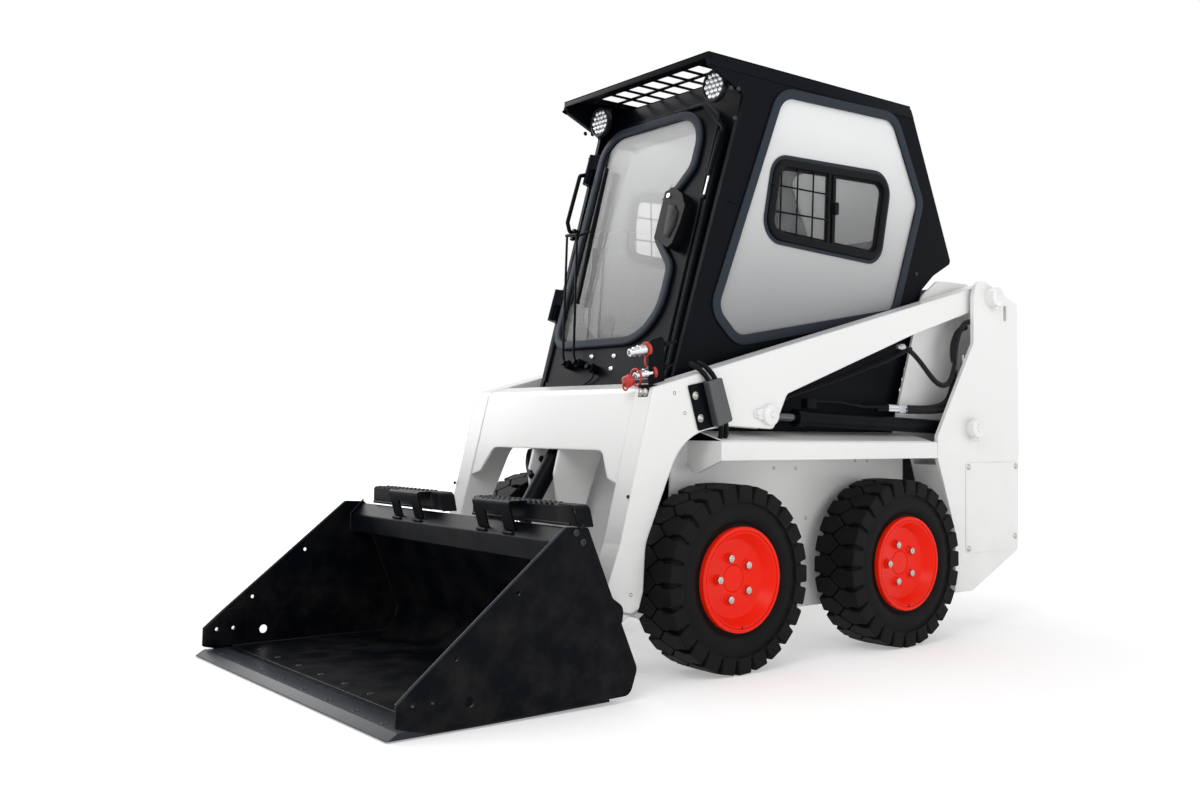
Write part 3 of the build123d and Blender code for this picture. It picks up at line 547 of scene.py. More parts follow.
def grown(tree, base, settings, place=None):
    """Plain mesh that a tree grows on a base, with its inputs set by identifier."""
    holder = bpy.data.objects.new("base", base or bpy.data.meshes.new("empty"))
    scene.collection.objects.link(holder)
    modifier = holder.modifiers.new(tree.name, "NODES")
    modifier.node_group = tree
    for socket in tree.interface.items_tree:
        if socket.item_type == "SOCKET" and socket.in_out == "INPUT" and socket.name in settings:
            modifier[socket.identifier] = settings[socket.name]
    return plain_mesh(holder, place)


def repeated(tree, mesh, settings, place=None, base=None):
    """Mesh of the copies of one small mesh."""
    shape = bpy.data.objects.new("shape", mesh)
    scene.collection.objects.link(shape)
    copies_mesh = grown(tree, base, dict(settings, Shape=shape), place)
    bpy.data.objects.remove(shape)
    return copies_mesh


SHAPE = ("Shape", "NodeSocketObject", None)
PAINT = ("Material", "NodeSocketMaterial", None)
print("every tree ends as a plain mesh, made by", grown.__name__)

# %% [markdown]
# Lugs stand round a tyre and nuts stand round a hub. The tree turns each copy by its number
# times a full turn over the count, after a first turn that sets where the pattern starts.
# %% Tree: copies round an axis
round_axis, start, end = new_tree("copies_round_an_axis", [
    SHAPE, PAINT, ("Count", "NodeSocketInt", 5), ("First turn", "NodeSocketFloat", 0.0)])
spots = add(round_axis, "GeometryNodePoints", {"Count": start["Count"]})
number = add(round_axis, "GeometryNodeInputIndex")
step_turn = add(round_axis, "ShaderNodeMath", {0: math.tau, 1: start["Count"]},
                operation="DIVIDE")
turn = add(round_axis, "ShaderNodeMath", {0: number.outputs[0], 1: step_turn.outputs[0],
                                          2: start["First turn"]}, operation="MULTIPLY_ADD")
about_z = add(round_axis, "ShaderNodeCombineXYZ", {"Z": turn.outputs[0]})
end_tree(round_axis, end, copies(round_axis, spots.outputs[0], start["Shape"],
                                 about_z.outputs[0]), start["Material"])
print("tree", round_axis.name)

# %% [markdown]
# Louvre slots and the collars of a step's tread stand in even rows. A grid's points carry the
# copies, and its size follows from the spacing, so the spacing is what is set.
# %% Tree: copies in rows
in_rows, start, end = new_tree("copies_in_rows", [
    SHAPE, PAINT, ("Across", "NodeSocketInt", 2), ("Up", "NodeSocketInt", 2),
    ("Step across", "NodeSocketFloat", 0.1), ("Step up", "NodeSocketFloat", 0.1)])
steps_across = add(in_rows, "ShaderNodeMath", {0: start["Across"], 1: 1.0},
                   operation="SUBTRACT")
steps_up = add(in_rows, "ShaderNodeMath", {0: start["Up"], 1: 1.0}, operation="SUBTRACT")
width = add(in_rows, "ShaderNodeMath", {0: steps_across.outputs[0], 1: start["Step across"]},
            operation="MULTIPLY")
height = add(in_rows, "ShaderNodeMath", {0: steps_up.outputs[0], 1: start["Step up"]},
             operation="MULTIPLY")
grid = add(in_rows, "GeometryNodeMeshGrid", {
    "Size X": width.outputs[0], "Size Y": height.outputs[0],
    "Vertices X": start["Across"], "Vertices Y": start["Up"]})
end_tree(in_rows, end, copies(in_rows, grid.outputs[0], start["Shape"]), start["Material"])
print("tree", in_rows.name)

# %% [markdown]
# Bolts sit where the drawing says and point out of their plate. Each point of the base mesh
# stores the direction that its bolt faces, and the tree turns the copy's Z that way.
# %% Tree: copies on points
on_points, start, end = new_tree("copies_on_points", [SHAPE, PAINT])
facing = add(on_points, "GeometryNodeInputNamedAttribute", {"Name": "facing"},
             data_type="FLOAT_VECTOR")
aligned = add(on_points, "FunctionNodeAlignRotationToVector",
              {"Vector": facing.outputs["Attribute"]}, axis="Z")
end_tree(on_points, end, copies(on_points, start["Geometry"], start["Shape"],
                                aligned.outputs[0]), start["Material"])


def scattered(mesh, rows):
    """Copies of one mesh at points: rows of (point in metres, direction its Z faces)."""
    base = bpy.data.meshes.new("points")
    base.from_pydata([row[0] for row in rows], [], [])
    facing = base.attributes.new("facing", "FLOAT_VECTOR", "POINT")
    facing.data.foreach_set("vector", [value for row in rows for value in row[1]])
    return repeated(on_points, mesh, {}, base=base)


def faced(rows, direction):
    """Rows for copies on points that all face one way, from (x, y from the datum, z)."""
    return [(point, direction) for point in at(*rows)]


print("tree", on_points.name)

# %% [markdown]
# A hydraulic hose wears a plastic spiral against chafing. It is a wire wound round the hose's
# own line: the line is sampled eight times a turn, each sample is pushed out along the line's
# normal, and the normal is turned on by the distance travelled.
# %% Tree: wire wound round a line
wound, start, end = new_tree("wire_wound_round_a_line", [
    PAINT, ("Radius", "NodeSocketFloat", 0.01), ("Pitch", "NodeSocketFloat", 0.01),
    ("Wire", "NodeSocketFloat", 0.002)])
sample = add(wound, "ShaderNodeMath", {0: start["Pitch"], 1: 8.0}, operation="DIVIDE")
even = add(wound, "GeometryNodeResampleCurve", {
    "Curve": start["Geometry"], "Length": sample.outputs[0]}, mode="LENGTH")
so_far = add(wound, "GeometryNodeSplineParameter")
turns = add(wound, "ShaderNodeMath", {0: so_far.outputs["Length"], 1: start["Pitch"]},
            operation="DIVIDE")
angle = add(wound, "ShaderNodeMath", {0: turns.outputs[0], 1: math.tau}, operation="MULTIPLY")
tangent = add(wound, "GeometryNodeInputTangent")
normal = add(wound, "GeometryNodeInputNormal")
out_turned = add(wound, "ShaderNodeVectorRotate", {
    "Vector": normal.outputs[0], "Axis": tangent.outputs[0], "Angle": angle.outputs[0]})
reach = add(wound, "ShaderNodeVectorMath", {0: out_turned.outputs[0], 3: start["Radius"]},
            operation="SCALE")
helix = add(wound, "GeometryNodeSetPosition", {
    "Geometry": even.outputs[0], "Offset": reach.outputs[0]})
section = add(wound, "GeometryNodeCurvePrimitiveCircle", {
    "Resolution": 6, "Radius": start["Wire"]})
wire = add(wound, "GeometryNodeCurveToMesh", {
    "Curve": helix.outputs[0], "Profile Curve": section.outputs[0], "Fill Caps": True})
end_tree(wound, end, wire.outputs[0], start["Material"])
print("tree", wound.name)

# %% [markdown]
# A weld bead is a string of overlapping puddles, so it swells and narrows with an even step.
# A plain tube looks like a cable. Here the tube's radius follows a sine of the distance.
# %% Tree: weld bead on a line
bead, start, end = new_tree("weld_bead_on_a_line", [
    PAINT, ("Radius", "NodeSocketFloat", 0.003), ("Ripple", "NodeSocketFloat", 0.004)])
sample = add(bead, "ShaderNodeMath", {0: start["Ripple"], 1: 4.0}, operation="DIVIDE")
even = add(bead, "GeometryNodeResampleCurve", {
    "Curve": start["Geometry"], "Length": sample.outputs[0]}, mode="LENGTH")
so_far = add(bead, "GeometryNodeSplineParameter")
waves = add(bead, "ShaderNodeMath", {0: so_far.outputs["Length"], 1: start["Ripple"]},
            operation="DIVIDE")
phase = add(bead, "ShaderNodeMath", {0: waves.outputs[0], 1: math.tau}, operation="MULTIPLY")
wave = add(bead, "ShaderNodeMath", {0: phase.outputs[0]}, operation="SINE")
swell = add(bead, "ShaderNodeMath", {0: wave.outputs[0], 1: 0.14, 2: 1.0},
            operation="MULTIPLY_ADD")
section = add(bead, "GeometryNodeCurvePrimitiveCircle", {
    "Resolution": 8, "Radius": start["Radius"]})
fat = add(bead, "GeometryNodeSetCurveRadius", {"Curve": even.outputs[0],
                                              "Radius": swell.outputs[0]})
run = add(bead, "GeometryNodeCurveToMesh", {
    "Curve": fat.outputs[0], "Profile Curve": section.outputs[0], "Fill Caps": True,
    "Scale": swell.outputs[0]})
end_tree(bead, end, run.outputs[0], start["Material"])


def welded(points, radius=3.0, ripple=4.5):
    """Weld bead of a radius in millimetres along points in metres."""
    return grown(bead, line_curve(points, False), {"Radius": radius * mm,
                                                   "Ripple": ripple * mm})


print("trees", [tree.name for tree in bpy.data.node_groups])

# %% [markdown]
# Sheet metal has no sharp edge: its paint rounds it, and wear rubs it bright. Bevelling every
# edge in the mesh would cost many faces, so a Bevel node rounds the light only, and where its
# normal leaves the flat one there is an edge. The effect is one group that all finishes share;
# their edge colour is partly wear and partly a painted highlight.
# %% Effect: soft edges
def new_effect(name, inputs, outputs):
    """Shader node group with its input and output nodes."""
    tree = bpy.data.node_groups.new(name, "ShaderNodeTree")
    for label, value in inputs:
        socket = tree.interface.new_socket(label, in_out="INPUT",
                                           socket_type="NodeSocketFloat")
        socket.default_value = value
    for label, kind in outputs:
        tree.interface.new_socket(label, in_out="OUTPUT", socket_type=kind)
    return tree, tree.nodes.new("NodeGroupInput").outputs, tree.nodes.new("NodeGroupOutput")


soft_edges, start, end = new_effect(
    "soft_edges", [("Radius", 0.0015)],
    [("Normal", "NodeSocketVector"), ("Edge", "NodeSocketFloat")])
round_normal = add(soft_edges, "ShaderNodeBevel", {"Radius": start["Radius"]}, samples=4)
flat_normal = add(soft_edges, "ShaderNodeNewGeometry")
agree = add(soft_edges, "ShaderNodeVectorMath", {
    0: round_normal.outputs[0], 1: flat_normal.outputs["Normal"]}, operation="DOT_PRODUCT")
edge = add(soft_edges, "ShaderNodeMapRange", {
    "Value": agree.outputs["Value"], "From Min": 0.995, "From Max": 0.85})
soft_edges.links.new(round_normal.outputs[0], end.inputs["Normal"])
soft_edges.links.new(edge.outputs[0], end.inputs["Edge"])
print("effect", soft_edges.name)

# %% [markdown]
# Paint, rubber and cast parts have a fine grain, and their colour clouds over a hand's width.
# Two noises on object coordinates give both, one far finer than the other.
# %% Effect: grain
grain, start, end = new_effect(
    "grain", [("Scale", 300.0), ("Cloud scale", 3.0)],
    [("Height", "NodeSocketFloat"), ("Cloud", "NodeSocketFloat")])
place = add(grain, "ShaderNodeTexCoord")
fine = add(grain, "ShaderNodeTexNoise", {
    "Vector": place.outputs["Object"], "Scale": start["Scale"], "Detail": 2.0})
cloud = add(grain, "ShaderNodeTexNoise", {
    "Vector": place.outputs["Object"], "Scale": start["Cloud scale"], "Detail": 4.0})
grain.links.new(fine.outputs["Fac"], end.inputs["Height"])
grain.links.new(cloud.outputs["Fac"], end.inputs["Cloud"])
print("effect", grain.name)

# %% [markdown]
# Dust settles low down on a machine that works on the ground. A patchy noise is multiplied by
# the height above the ground, so it fades out towards the cab.
# %% Effect: dust
dust, start, end = new_effect(
    "dust", [("Top", 0.9), ("Amount", 0.5)], [("Mask", "NodeSocketFloat")])
place = add(dust, "ShaderNodeTexCoord")
apart = add(dust, "ShaderNodeSeparateXYZ", {0: place.outputs["Object"]})
low_down = add(dust, "ShaderNodeMapRange", {
    "Value": apart.outputs["Z"], "From Min": start["Top"], "From Max": 0.0})
patches = add(dust, "ShaderNodeTexNoise", {
    "Vector": place.outputs["Object"], "Scale": 9.0, "Detail": 6.0, "Roughness": 0.65})
settled = add(dust, "ShaderNodeMapRange", {
    "Value": patches.outputs["Fac"], "From Min": 0.42, "From Max": 0.75})
both = add(dust, "ShaderNodeMath", {0: settled.outputs[0], 1: low_down.outputs[0]},
           operation="MULTIPLY")
mask = add(dust, "ShaderNodeMath", {0: both.outputs[0], 1: start["Amount"]},
           operation="MULTIPLY")
dust.links.new(mask.outputs[0], end.inputs["Mask"])
print("effects", [tree.name for tree in (soft_edges, grain, dust)])

# %% [markdown]
# One recipe then makes each finish: a base colour that clouds a little, a lighter colour on
# the edges that is partly wear and partly a painted highlight, dust, and a grain as fine as the
# real one, in millimetres of height. A material built by hand for each would drift apart, while
# one recipe keeps them of one world.
# %% Recipe of a finish
def colour_mix(tree, factor, first, second):
    """Mix of two colours by a factor. A colour is three numbers or an output."""
    mix = tree.nodes.new("ShaderNodeMix")
    mix.data_type = "RGBA"
    for socket, value in ((0, factor), (6, first), (7, second)):
        if isinstance(value, bpy.types.NodeSocket):
            tree.links.new(value, mix.inputs[socket])
        else:
            mix.inputs[socket].default_value = value if socket == 0 else (*value, 1)
    return mix.outputs[2]


def effect(tree, group, **inputs):
    """Instance of a shared effect in a material."""
    node = tree.nodes.new("ShaderNodeGroup")
    node.node_tree = group
    for label, value in inputs.items():
        node.inputs[label.replace("_", " ").capitalize()].default_value = value
    return node.outputs


def finish(name, colour, rough, cloudy=0.06, scale=300, height=0.02, edge_wear_and_highlight=None, edge_wear_and_highlight_share=0.5,
           dirt=0.0, dirt_colour=(0.32, 0.29, 0.25), radius=1.5, sockets=()):
    """Finish kept by name. Height is the grain's in millimetres; the edge's wear and painted
    highlight, and the dirt, are shares.
    """
    material, surface = shader(name)
    tree = material.node_tree
    for label, value in dict(sockets).items():
        surface.inputs[label].default_value = value
    edges = effect(tree, soft_edges, radius=radius * mm)
    spots = effect(tree, grain, scale=scale)
    dark = tuple(value * (1 - cloudy) for value in colour)
    pale = tuple(value * (1 + cloudy) for value in colour)
    shade = colour_mix(tree, spots["Cloud"], dark, pale)
    # Edges take a lighter colour, partly wear and partly a painted highlight.
    if edge_wear_and_highlight:
        edge_wear_and_highlight_mask = add(tree, "ShaderNodeMath", {0: edges["Edge"], 1: edge_wear_and_highlight_share},
                     operation="MULTIPLY")
        shade = colour_mix(tree, edge_wear_and_highlight_mask.outputs[0], shade, edge_wear_and_highlight)
    gloss = add(tree, "ShaderNodeMapRange", {"Value": spots["Cloud"], "To Min": rough * 0.9,
                                             "To Max": rough * 1.1}).outputs[0]
    if dirt:
        layer = effect(tree, dust, amount=dirt)["Mask"]
        shade = colour_mix(tree, layer, shade, dirt_colour)
        gloss = add(tree, "ShaderNodeMath", {0: layer, 1: 0.5, 2: gloss},
                    operation="MULTIPLY_ADD").outputs[0]
    bump = add(tree, "ShaderNodeBump", {
        "Height": spots["Height"], "Distance": height * mm, "Normal": edges["Normal"]})
    tree.links.new(shade, surface.inputs["Base Color"])
    tree.links.new(gloss, surface.inputs["Roughness"])
    tree.links.new(bump.outputs[0], surface.inputs["Normal"])
    finishes[name] = material
    return material


print("recipe", finish.__name__)

# %% [markdown]
# The steelwork is painted white and black, the rims red. The white has a thin clear gloss. The
# arms are folded from thick plate, so their finish has the wider soft edge of such a fold, and a
# wider painted highlight along it. The blacks are very dark with little sheen, because bright
# edges and panels light them up; their lighter bluish edge colour is a painted highlight as well
# as wear.
# %% Paints
for name, edge_round in (("white_paint", 1.5), ("arm_paint", 9)):
    finish(name, (0.77, 0.77, 0.765), 0.36, cloudy=0.015, scale=420, height=0.03,
           edge_wear_and_highlight=(0.86, 0.86, 0.85), edge_wear_and_highlight_share=0.3, dirt=0.16, radius=edge_round,
           sockets={"Coat Weight": 0.3, "Coat Roughness": 0.12})
finish("black_paint", (0.0022, 0.0028, 0.0046), 0.36, cloudy=0.2, scale=500, height=0.04,
       edge_wear_and_highlight=(0.045, 0.05, 0.062), edge_wear_and_highlight_share=0.45, dirt=0.05,
       sockets={"Specular IOR Level": 0.05})
finish("rim_paint", (0.84, 0.013, 0.0008), 0.32, cloudy=0.05, scale=380, height=0.03,
       edge_wear_and_highlight=(0.8, 0.04, 0.012), edge_wear_and_highlight_share=0.3, dirt=0.06,
       sockets={"Specular IOR Level": 0.14})
finish("engine_paint", (0.055, 0.06, 0.065), 0.5, cloudy=0.3, scale=120, height=0.3,
       edge_wear_and_highlight=(0.16, 0.165, 0.17), edge_wear_and_highlight_share=0.4, dirt=0.2)
print("paints", list(finishes))

# %% [markdown]
# Rubber and plastic are dull, and each has its own grain: solid tyres are rough, seals and
# hoses fine, vinyl has the bumps of its embossing. They differ in numbers only.
# %% Rubber and plastic
finish("tyre_rubber", (0.004, 0.0041, 0.0044), 0.62, cloudy=0.25, scale=900, height=0.06,
       edge_wear_and_highlight=(0.012, 0.012, 0.013), edge_wear_and_highlight_share=0.5, dirt=0.012,
       sockets={"Specular IOR Level": 0.10})
finish("rubber", (0.006, 0.0065, 0.008), 0.55, cloudy=0.15, scale=700, height=0.03,
       sockets={"Specular IOR Level": 0.08})
# The seals' lighter bluish grey is a painted sheen on dark rubber.
finish("seal_rubber_painted_sheen", (0.022, 0.028, 0.038), 0.5, cloudy=0.12, scale=700, height=0.03,
       sockets={"Specular IOR Level": 0.1})
finish("hose_cover", (0.004, 0.0045, 0.006), 0.5, cloudy=0.2, scale=900, height=0.05,
       sockets={"Specular IOR Level": 0.1})
finish("spiral_guard", (0.02, 0.021, 0.024), 0.42, cloudy=0.15, scale=700, height=0.03,
       sockets={"Specular IOR Level": 0.15})
finish("seat_vinyl", (0.010, 0.0105, 0.012), 0.48, cloudy=0.15, scale=260, height=0.16,
       edge_wear_and_highlight=(0.03, 0.03, 0.032), edge_wear_and_highlight_share=0.3, sockets={"Specular IOR Level": 0.4})
finish("black_plastic", (0.0035, 0.0038, 0.005), 0.42, cloudy=0.15, scale=520, height=0.07,
       edge_wear_and_highlight=(0.03, 0.031, 0.034), edge_wear_and_highlight_share=0.3, sockets={"Specular IOR Level": 0.08})
finish("lamp_housing", (0.009, 0.0095, 0.011), 0.36, cloudy=0.12, scale=480, height=0.04,
       edge_wear_and_highlight=(0.03, 0.031, 0.034), edge_wear_and_highlight_share=0.3, sockets={"Specular IOR Level": 0.2})
finish("red_plastic", (0.42, 0.02, 0.012), 0.4, cloudy=0.08, scale=500, height=0.02)
finish("box_plastic", (0.055, 0.058, 0.062), 0.42, cloudy=0.06, scale=420, height=0.04,
       edge_wear_and_highlight=(0.24, 0.25, 0.26), edge_wear_and_highlight_share=0.3)
print("finishes", len(finishes))

# %% [markdown]
# Bare metal shows at the cylinder rods, the nuts and bolts, the couplers and the bucket's
# cutting edge. Chrome and zinc are metal through and through. Blackened bolts, welds and the
# bucket's edge are covered by scale or paint, so they are dark and not metallic.
# %% Metals
finish("rod_chrome", (0.62, 0.63, 0.65), 0.13, cloudy=0.03, scale=900, height=0.004,
       sockets={"Metallic": 1.0})
finish("dark_rod", (0.10, 0.105, 0.115), 0.22, cloudy=0.1, scale=900, height=0.004,
       sockets={"Metallic": 1.0})
finish("zinc", (0.46, 0.45, 0.42), 0.34, cloudy=0.12, scale=500, height=0.02,
       edge_wear_and_highlight=(0.7, 0.69, 0.66), edge_wear_and_highlight_share=0.4, radius=0.6, sockets={"Metallic": 1.0})
finish("silver", (0.55, 0.56, 0.58), 0.27, cloudy=0.06, scale=600, height=0.01,
       edge_wear_and_highlight=(0.8, 0.81, 0.83), edge_wear_and_highlight_share=0.3, radius=0.7, sockets={"Metallic": 1.0})
finish("cut_steel", (0.30, 0.30, 0.31), 0.34, cloudy=0.2, scale=260, height=0.05,
       edge_wear_and_highlight=(0.6, 0.6, 0.61), edge_wear_and_highlight_share=0.4, sockets={"Metallic": 1.0})
finish("black_bolt", (0.014, 0.0145, 0.016), 0.34, cloudy=0.2, scale=500, height=0.02,
       edge_wear_and_highlight=(0.09, 0.092, 0.1), edge_wear_and_highlight_share=0.6, radius=0.6, sockets={"Specular IOR Level": 0.3})
finish("weld_metal", (0.008, 0.009, 0.012), 0.38, cloudy=0.3, scale=380, height=0.12,
       edge_wear_and_highlight=(0.04, 0.042, 0.046), edge_wear_and_highlight_share=0.4, sockets={"Specular IOR Level": 0.1})
finish("edge_steel", (0.022, 0.025, 0.032), 0.36, cloudy=0.3, scale=220, height=0.05,
       edge_wear_and_highlight=(0.10, 0.105, 0.115), edge_wear_and_highlight_share=0.6, sockets={"Specular IOR Level": 0.12})
print("finishes", len(finishes))

# %% [markdown]
# Cab glass is a thin tinted pane. Its colour is painted: darker low down as painted shade of
# the floor of the cab that lies behind it, and lighter higher up as a painted reflection of the
# room. Full refraction would be slow and noisy in a thin pane, so a share of it is this painted
# pale film and the rest lets light straight through.
# %% Glass
glass_bottom, glass_top = 1.05, 1.80


def glass(name, painted_shade_colour, painted_reflection_colour, film, rough=0.02):
    """Glass that lets light straight through under a painted film: painted shade low down,
    painted reflection of the room higher up.
    """
    material, surface = shader(name)
    tree = material.node_tree
    place = add(tree, "ShaderNodeTexCoord")
    apart = add(tree, "ShaderNodeSeparateXYZ", {0: place.outputs["Object"]})
    height = add(tree, "ShaderNodeMapRange", {
        "Value": apart.outputs["Z"], "From Min": glass_bottom, "From Max": glass_top})
    # The film's colour runs from painted shade low down to a painted reflection of the room up
    # high.
    shade = colour_mix(tree, height.outputs[0], painted_shade_colour, painted_reflection_colour)
    tree.links.new(shade, surface.inputs["Base Color"])
    spots = effect(tree, grain, scale=40, cloud_scale=1.8)
    painted_film_share = add(tree, "ShaderNodeMapRange", {"Value": spots["Cloud"], "To Min": film - 0.05,
                                            "To Max": film + 0.05})
    tree.links.new(painted_film_share.outputs[0], surface.inputs["Alpha"])
    gloss = add(tree, "ShaderNodeMapRange", {"Value": spots["Height"], "To Min": rough,
                                             "To Max": rough * 1.6})
    tree.links.new(gloss.outputs[0], surface.inputs["Roughness"])
    surface.inputs["Specular IOR Level"].default_value = 0.25
    finishes[name] = material
    return material


# Each glass gets its painted shade colour low down and its painted reflection colour up high.
glass("glass", (0.29, 0.295, 0.30), (0.86, 0.87, 0.875), film=0.74)
glass("door_glass", (0.19, 0.192, 0.195), (0.86, 0.865, 0.87), film=0.40)
glass("slider_glass", (0.5, 0.51, 0.52), (0.8, 0.81, 0.82), film=0.09)
print("glass from", glass_bottom, "to", glass_top, "m above the ground")

# %% [markdown]
# Behind the clear dome of a work lamp's diode lies a small bright mirror. A dome of glass over
# a mirror costs many bounces, so the lens is one half metallic, glossy surface.
# %% Lamp lenses
led, led_surface = shader("led_lens")
led_spots = effect(led.node_tree, grain, scale=500, cloud_scale=60)
led_colour = colour_mix(led.node_tree, led_spots["Cloud"], (0.5, 0.52, 0.54),
                        (0.9, 0.92, 0.94))
led_gloss = add(led.node_tree, "ShaderNodeMapRange", {
    "Value": led_spots["Height"], "To Min": 0.05, "To Max": 0.16})
led.node_tree.links.new(led_colour, led_surface.inputs["Base Color"])
led.node_tree.links.new(led_gloss.outputs[0], led_surface.inputs["Roughness"])
led_surface.inputs["Metallic"].default_value = 0.6
finishes["led_lens"] = led
print("finishes", len(finishes))

# %% [markdown]
# The CAD solids that already have their final shape only change their finish. Each names its
# own, and only the door's glass, the arms and the lift rods take another one here.
# %% Finish the solids
slot_of = {row["node"]: row["material_slot"] for row in frame["record"]["subparts"]}
other_finish = {"door_glass": "door_glass"}
other_finish |= {name: "arm_paint" for name in ("arm_left", "arm_right", "cross_member")}
other_finish |= {name: "dark_rod" for name in slot_of if "lift_rod" in name}
for name, solid in nodes.items():
    shown = other_finish.get(name, slot_of[name])
    for number in range(max(1, len(solid.material_slots))):
        if number < len(solid.material_slots):
            solid.material_slots[number].material = finishes[shown]
        else:
            solid.data.materials.append(finishes[shown])
print("painted", len(nodes), "solids")

# %% [markdown]
# A solid tyre is moulded in one piece: a carcass turned round the axle and 25 lugs a side,
# set half a step apart so that their points interlock over the middle. Carving the grooves out
# of a ring would need a boolean. Here one lug is modelled and the tree sets the rest.
# %% One tyre lug
tyre_radius = (tyre_high.z - tyre_low.z) / 2 / mm
half_tyre = (tyre_high.x - tyre_low.x) / 2 / mm
lug_depth = 50
shoulder, shoulder_fall = 74, 6
lug_rows = [(half_tyre, -27, 4), (half_tyre, 27, 4), (50, 27, 6), (41, 34.2, 5), (22, 34.2, 9),
            (-18, 0, 5), (22, -34.2, 9), (41, -34.2, 5), (50, -27, 6)]


def lug():
    """One lug: rows of its outline are (along the axle, along the tread)."""
    outline = rounded(lug_rows, 1)
    levels = [(1.5, tyre_radius - lug_depth), (0, tyre_radius - 2.5), (-2.2, tyre_radius)]
    shape = bmesh.new()
    rings = []
    for growth, radius in levels:
        ring = []
        for spot in widened(outline, growth):
            top = radius - max(0, abs(spot.x / mm) - shoulder) / shoulder_fall
            out = math.sqrt(top ** 2 - (spot.y / mm) ** 2)
            ring.append(shape.verts.new((out * mm, spot.y, min(spot.x, half_tyre * mm))))
        rings.append(ring)
    for low, high in zip(rings, rings[1:]):
        for step in range(len(low)):
            after = (step + 1) % len(low)
            shape.faces.new((low[step], low[after], high[after], high[step]))
    shape.faces.new(rings[-1])
    shape.faces.new(list(reversed(rings[0])))
    bmesh.ops.recalc_face_normals(shape, faces=shape.faces)
    mesh = bpy.data.meshes.new("lug")
    shape.to_mesh(mesh)
    shape.free()
    return mesh


print("tyre", round(2 * tyre_radius), "by", round(2 * half_tyre), "mm")

# %% [markdown]
# The tyre's walls bulge a little and carry a ridge that keeps the rim from damage. They are
# turned from one half section, which its mirror image completes.
# %% Tyre
lugs_a_side = 25
carcass = [(150, 70), (170, 70), (178, 76), (190, 82), (205, 84), (225, 81), (236, 80),
           (240, 84), (243, half_tyre), (245, 80), (262, 80), (276, 72)]
carcass += [(radius, -along) for radius, along in reversed(carcass)]


def tyre_mesh():
    """Tyre with its axle along Z."""
    outer = repeated(round_axis, lug(), {"Count": lugs_a_side}, AT_ORIGIN)
    inner = repeated(round_axis, lug(), {"Count": lugs_a_side,
                                         "First turn": math.pi / lugs_a_side}, AT_ORIGIN)
    inner.transform(Matrix.Scale(-1, 4, (0, 0, 1)))
    inner.flip_normals()
    return joined(turned(carcass, AT_ORIGIN, 150), outer, inner)


print("lugs on a tyre", 2 * lugs_a_side)

# %% [markdown]
# A rim is pressed from sheet and painted. Its profile is turned: a hub cap, the disc with its
# nut circle, a deep dish, the well and the flange with the groove of its lock ring. Five
# hexagon nuts hold it, each on a round collar of the disc. A hexagon plate with eased edges
# and a turned stud make the nut, and the tree sets five of them.
# %% Rim and nuts
rim_profile = [
    (0, 48.2), (2.5, 48.2), (3.2, 49.8), (39, 49.8), (40.5, 48.6), (41.5, 47), (42.5, 47),
    (43.5, 49.5), (46, 50.5), (117, 50.5), (121, 52), (124, 56), (139, 86), (142, 89.5),
    (146, 90.5), (147, 87.5), (149, 87.5), (150, 91.5), (158, 91.5), (161, 89.5),
    (161, 72), (150, 68), (150, -68), (161, -72), (161, -91.5), (143, -91.5), (137, -60),
    (137, 36), (130, 40), (62, 40), (62, 0), (30, -4), (30, -88), (0, -88),
]
disc_face = 50
nut_circle = 66
nut_corner = 12.2
nut_count = 5
collar = [(0, 50), (17, 50), (17, 53), (15, 56), (9, 55), (0, 55)]
nut_rows = [(nut_corner * math.cos(math.tau * k / 6), nut_corner * math.sin(math.tau * k / 6),
             1.2) for k in range(6)]


def wheel_nut():
    """Hexagon nut with the stud's end in it, along Z from the disc."""
    outward = Matrix.Translation((nut_circle * mm, 0, disc_face * mm))
    nut = plate([rounded(nut_rows, 1)], 15, outward, bevel=1.0, rounds=1)
    stud = turned([(0, 17.5), (4.4, 17.5), (5.2, 16.5), (5.2, 8), (0, 8)], outward, 16)
    return joined(nut, stud)


print("nuts", nut_count, "on a circle of", 2 * nut_circle, "mm")

# %% [markdown]
# Four wheels are the same, and a wheel on the right is turned round, not mirrored, as the real
# ones are. Each is made where it runs, because its place has to lie in its mesh.
# %% Wheels
def wheel_place(node):
    """Frame of a wheel from its tyre: Z runs outwards along the axle, Y up."""
    low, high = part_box(node)
    hand = math.copysign(1, low.x + high.x)
    return axes((low + high) / 2, (0, hand, 0), (0, 0, 1))


for end_name in ("front", "rear"):
    for hand_name in ("left", "right"):
        wheel = f"{end_name}_{hand_name}"
        place = wheel_place(f"tyre_{wheel}")
        first = math.pi * (1 if hand_name == "left" else 0)
        rubber = tyre_mesh()
        rubber.transform(place)
        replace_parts(dressed(rubber, f"tread_{wheel}", f"wheel_{wheel}", "tyre_rubber",
                            sharp=28), f"tyre_{wheel}")
        disc = turned(rim_profile, place, 96)
        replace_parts(dressed(disc, f"disc_{wheel}", f"wheel_{wheel}", "rim_paint", sharp=30),
                    f"rim_{wheel}")
        one_collar = turned(collar, Matrix.Translation((nut_circle * mm, 0, 0)), 24)
        rings = repeated(round_axis, one_collar, {"Count": nut_count, "First turn": first},
                         place)
        dressed(rings, f"nut_collars_{wheel}", f"wheel_{wheel}", "rim_paint")
        nuts = repeated(round_axis, wheel_nut(), {"Count": nut_count, "First turn": first},
                        place)
        dressed(nuts, f"wheel_nuts_{wheel}", f"wheel_{wheel}", "rod_chrome", "zinc")
        split = block(0, -144.5, 2.4, 9, 5, place @ Matrix.Translation((0, 0, 0.0865)),
                      turn=0.8, bevel=0.4)
        dressed(split, f"lock_ring_split_{wheel}", f"wheel_{wheel}", "black_paint")
print("wheels", [name for name in made if "tread" in name])

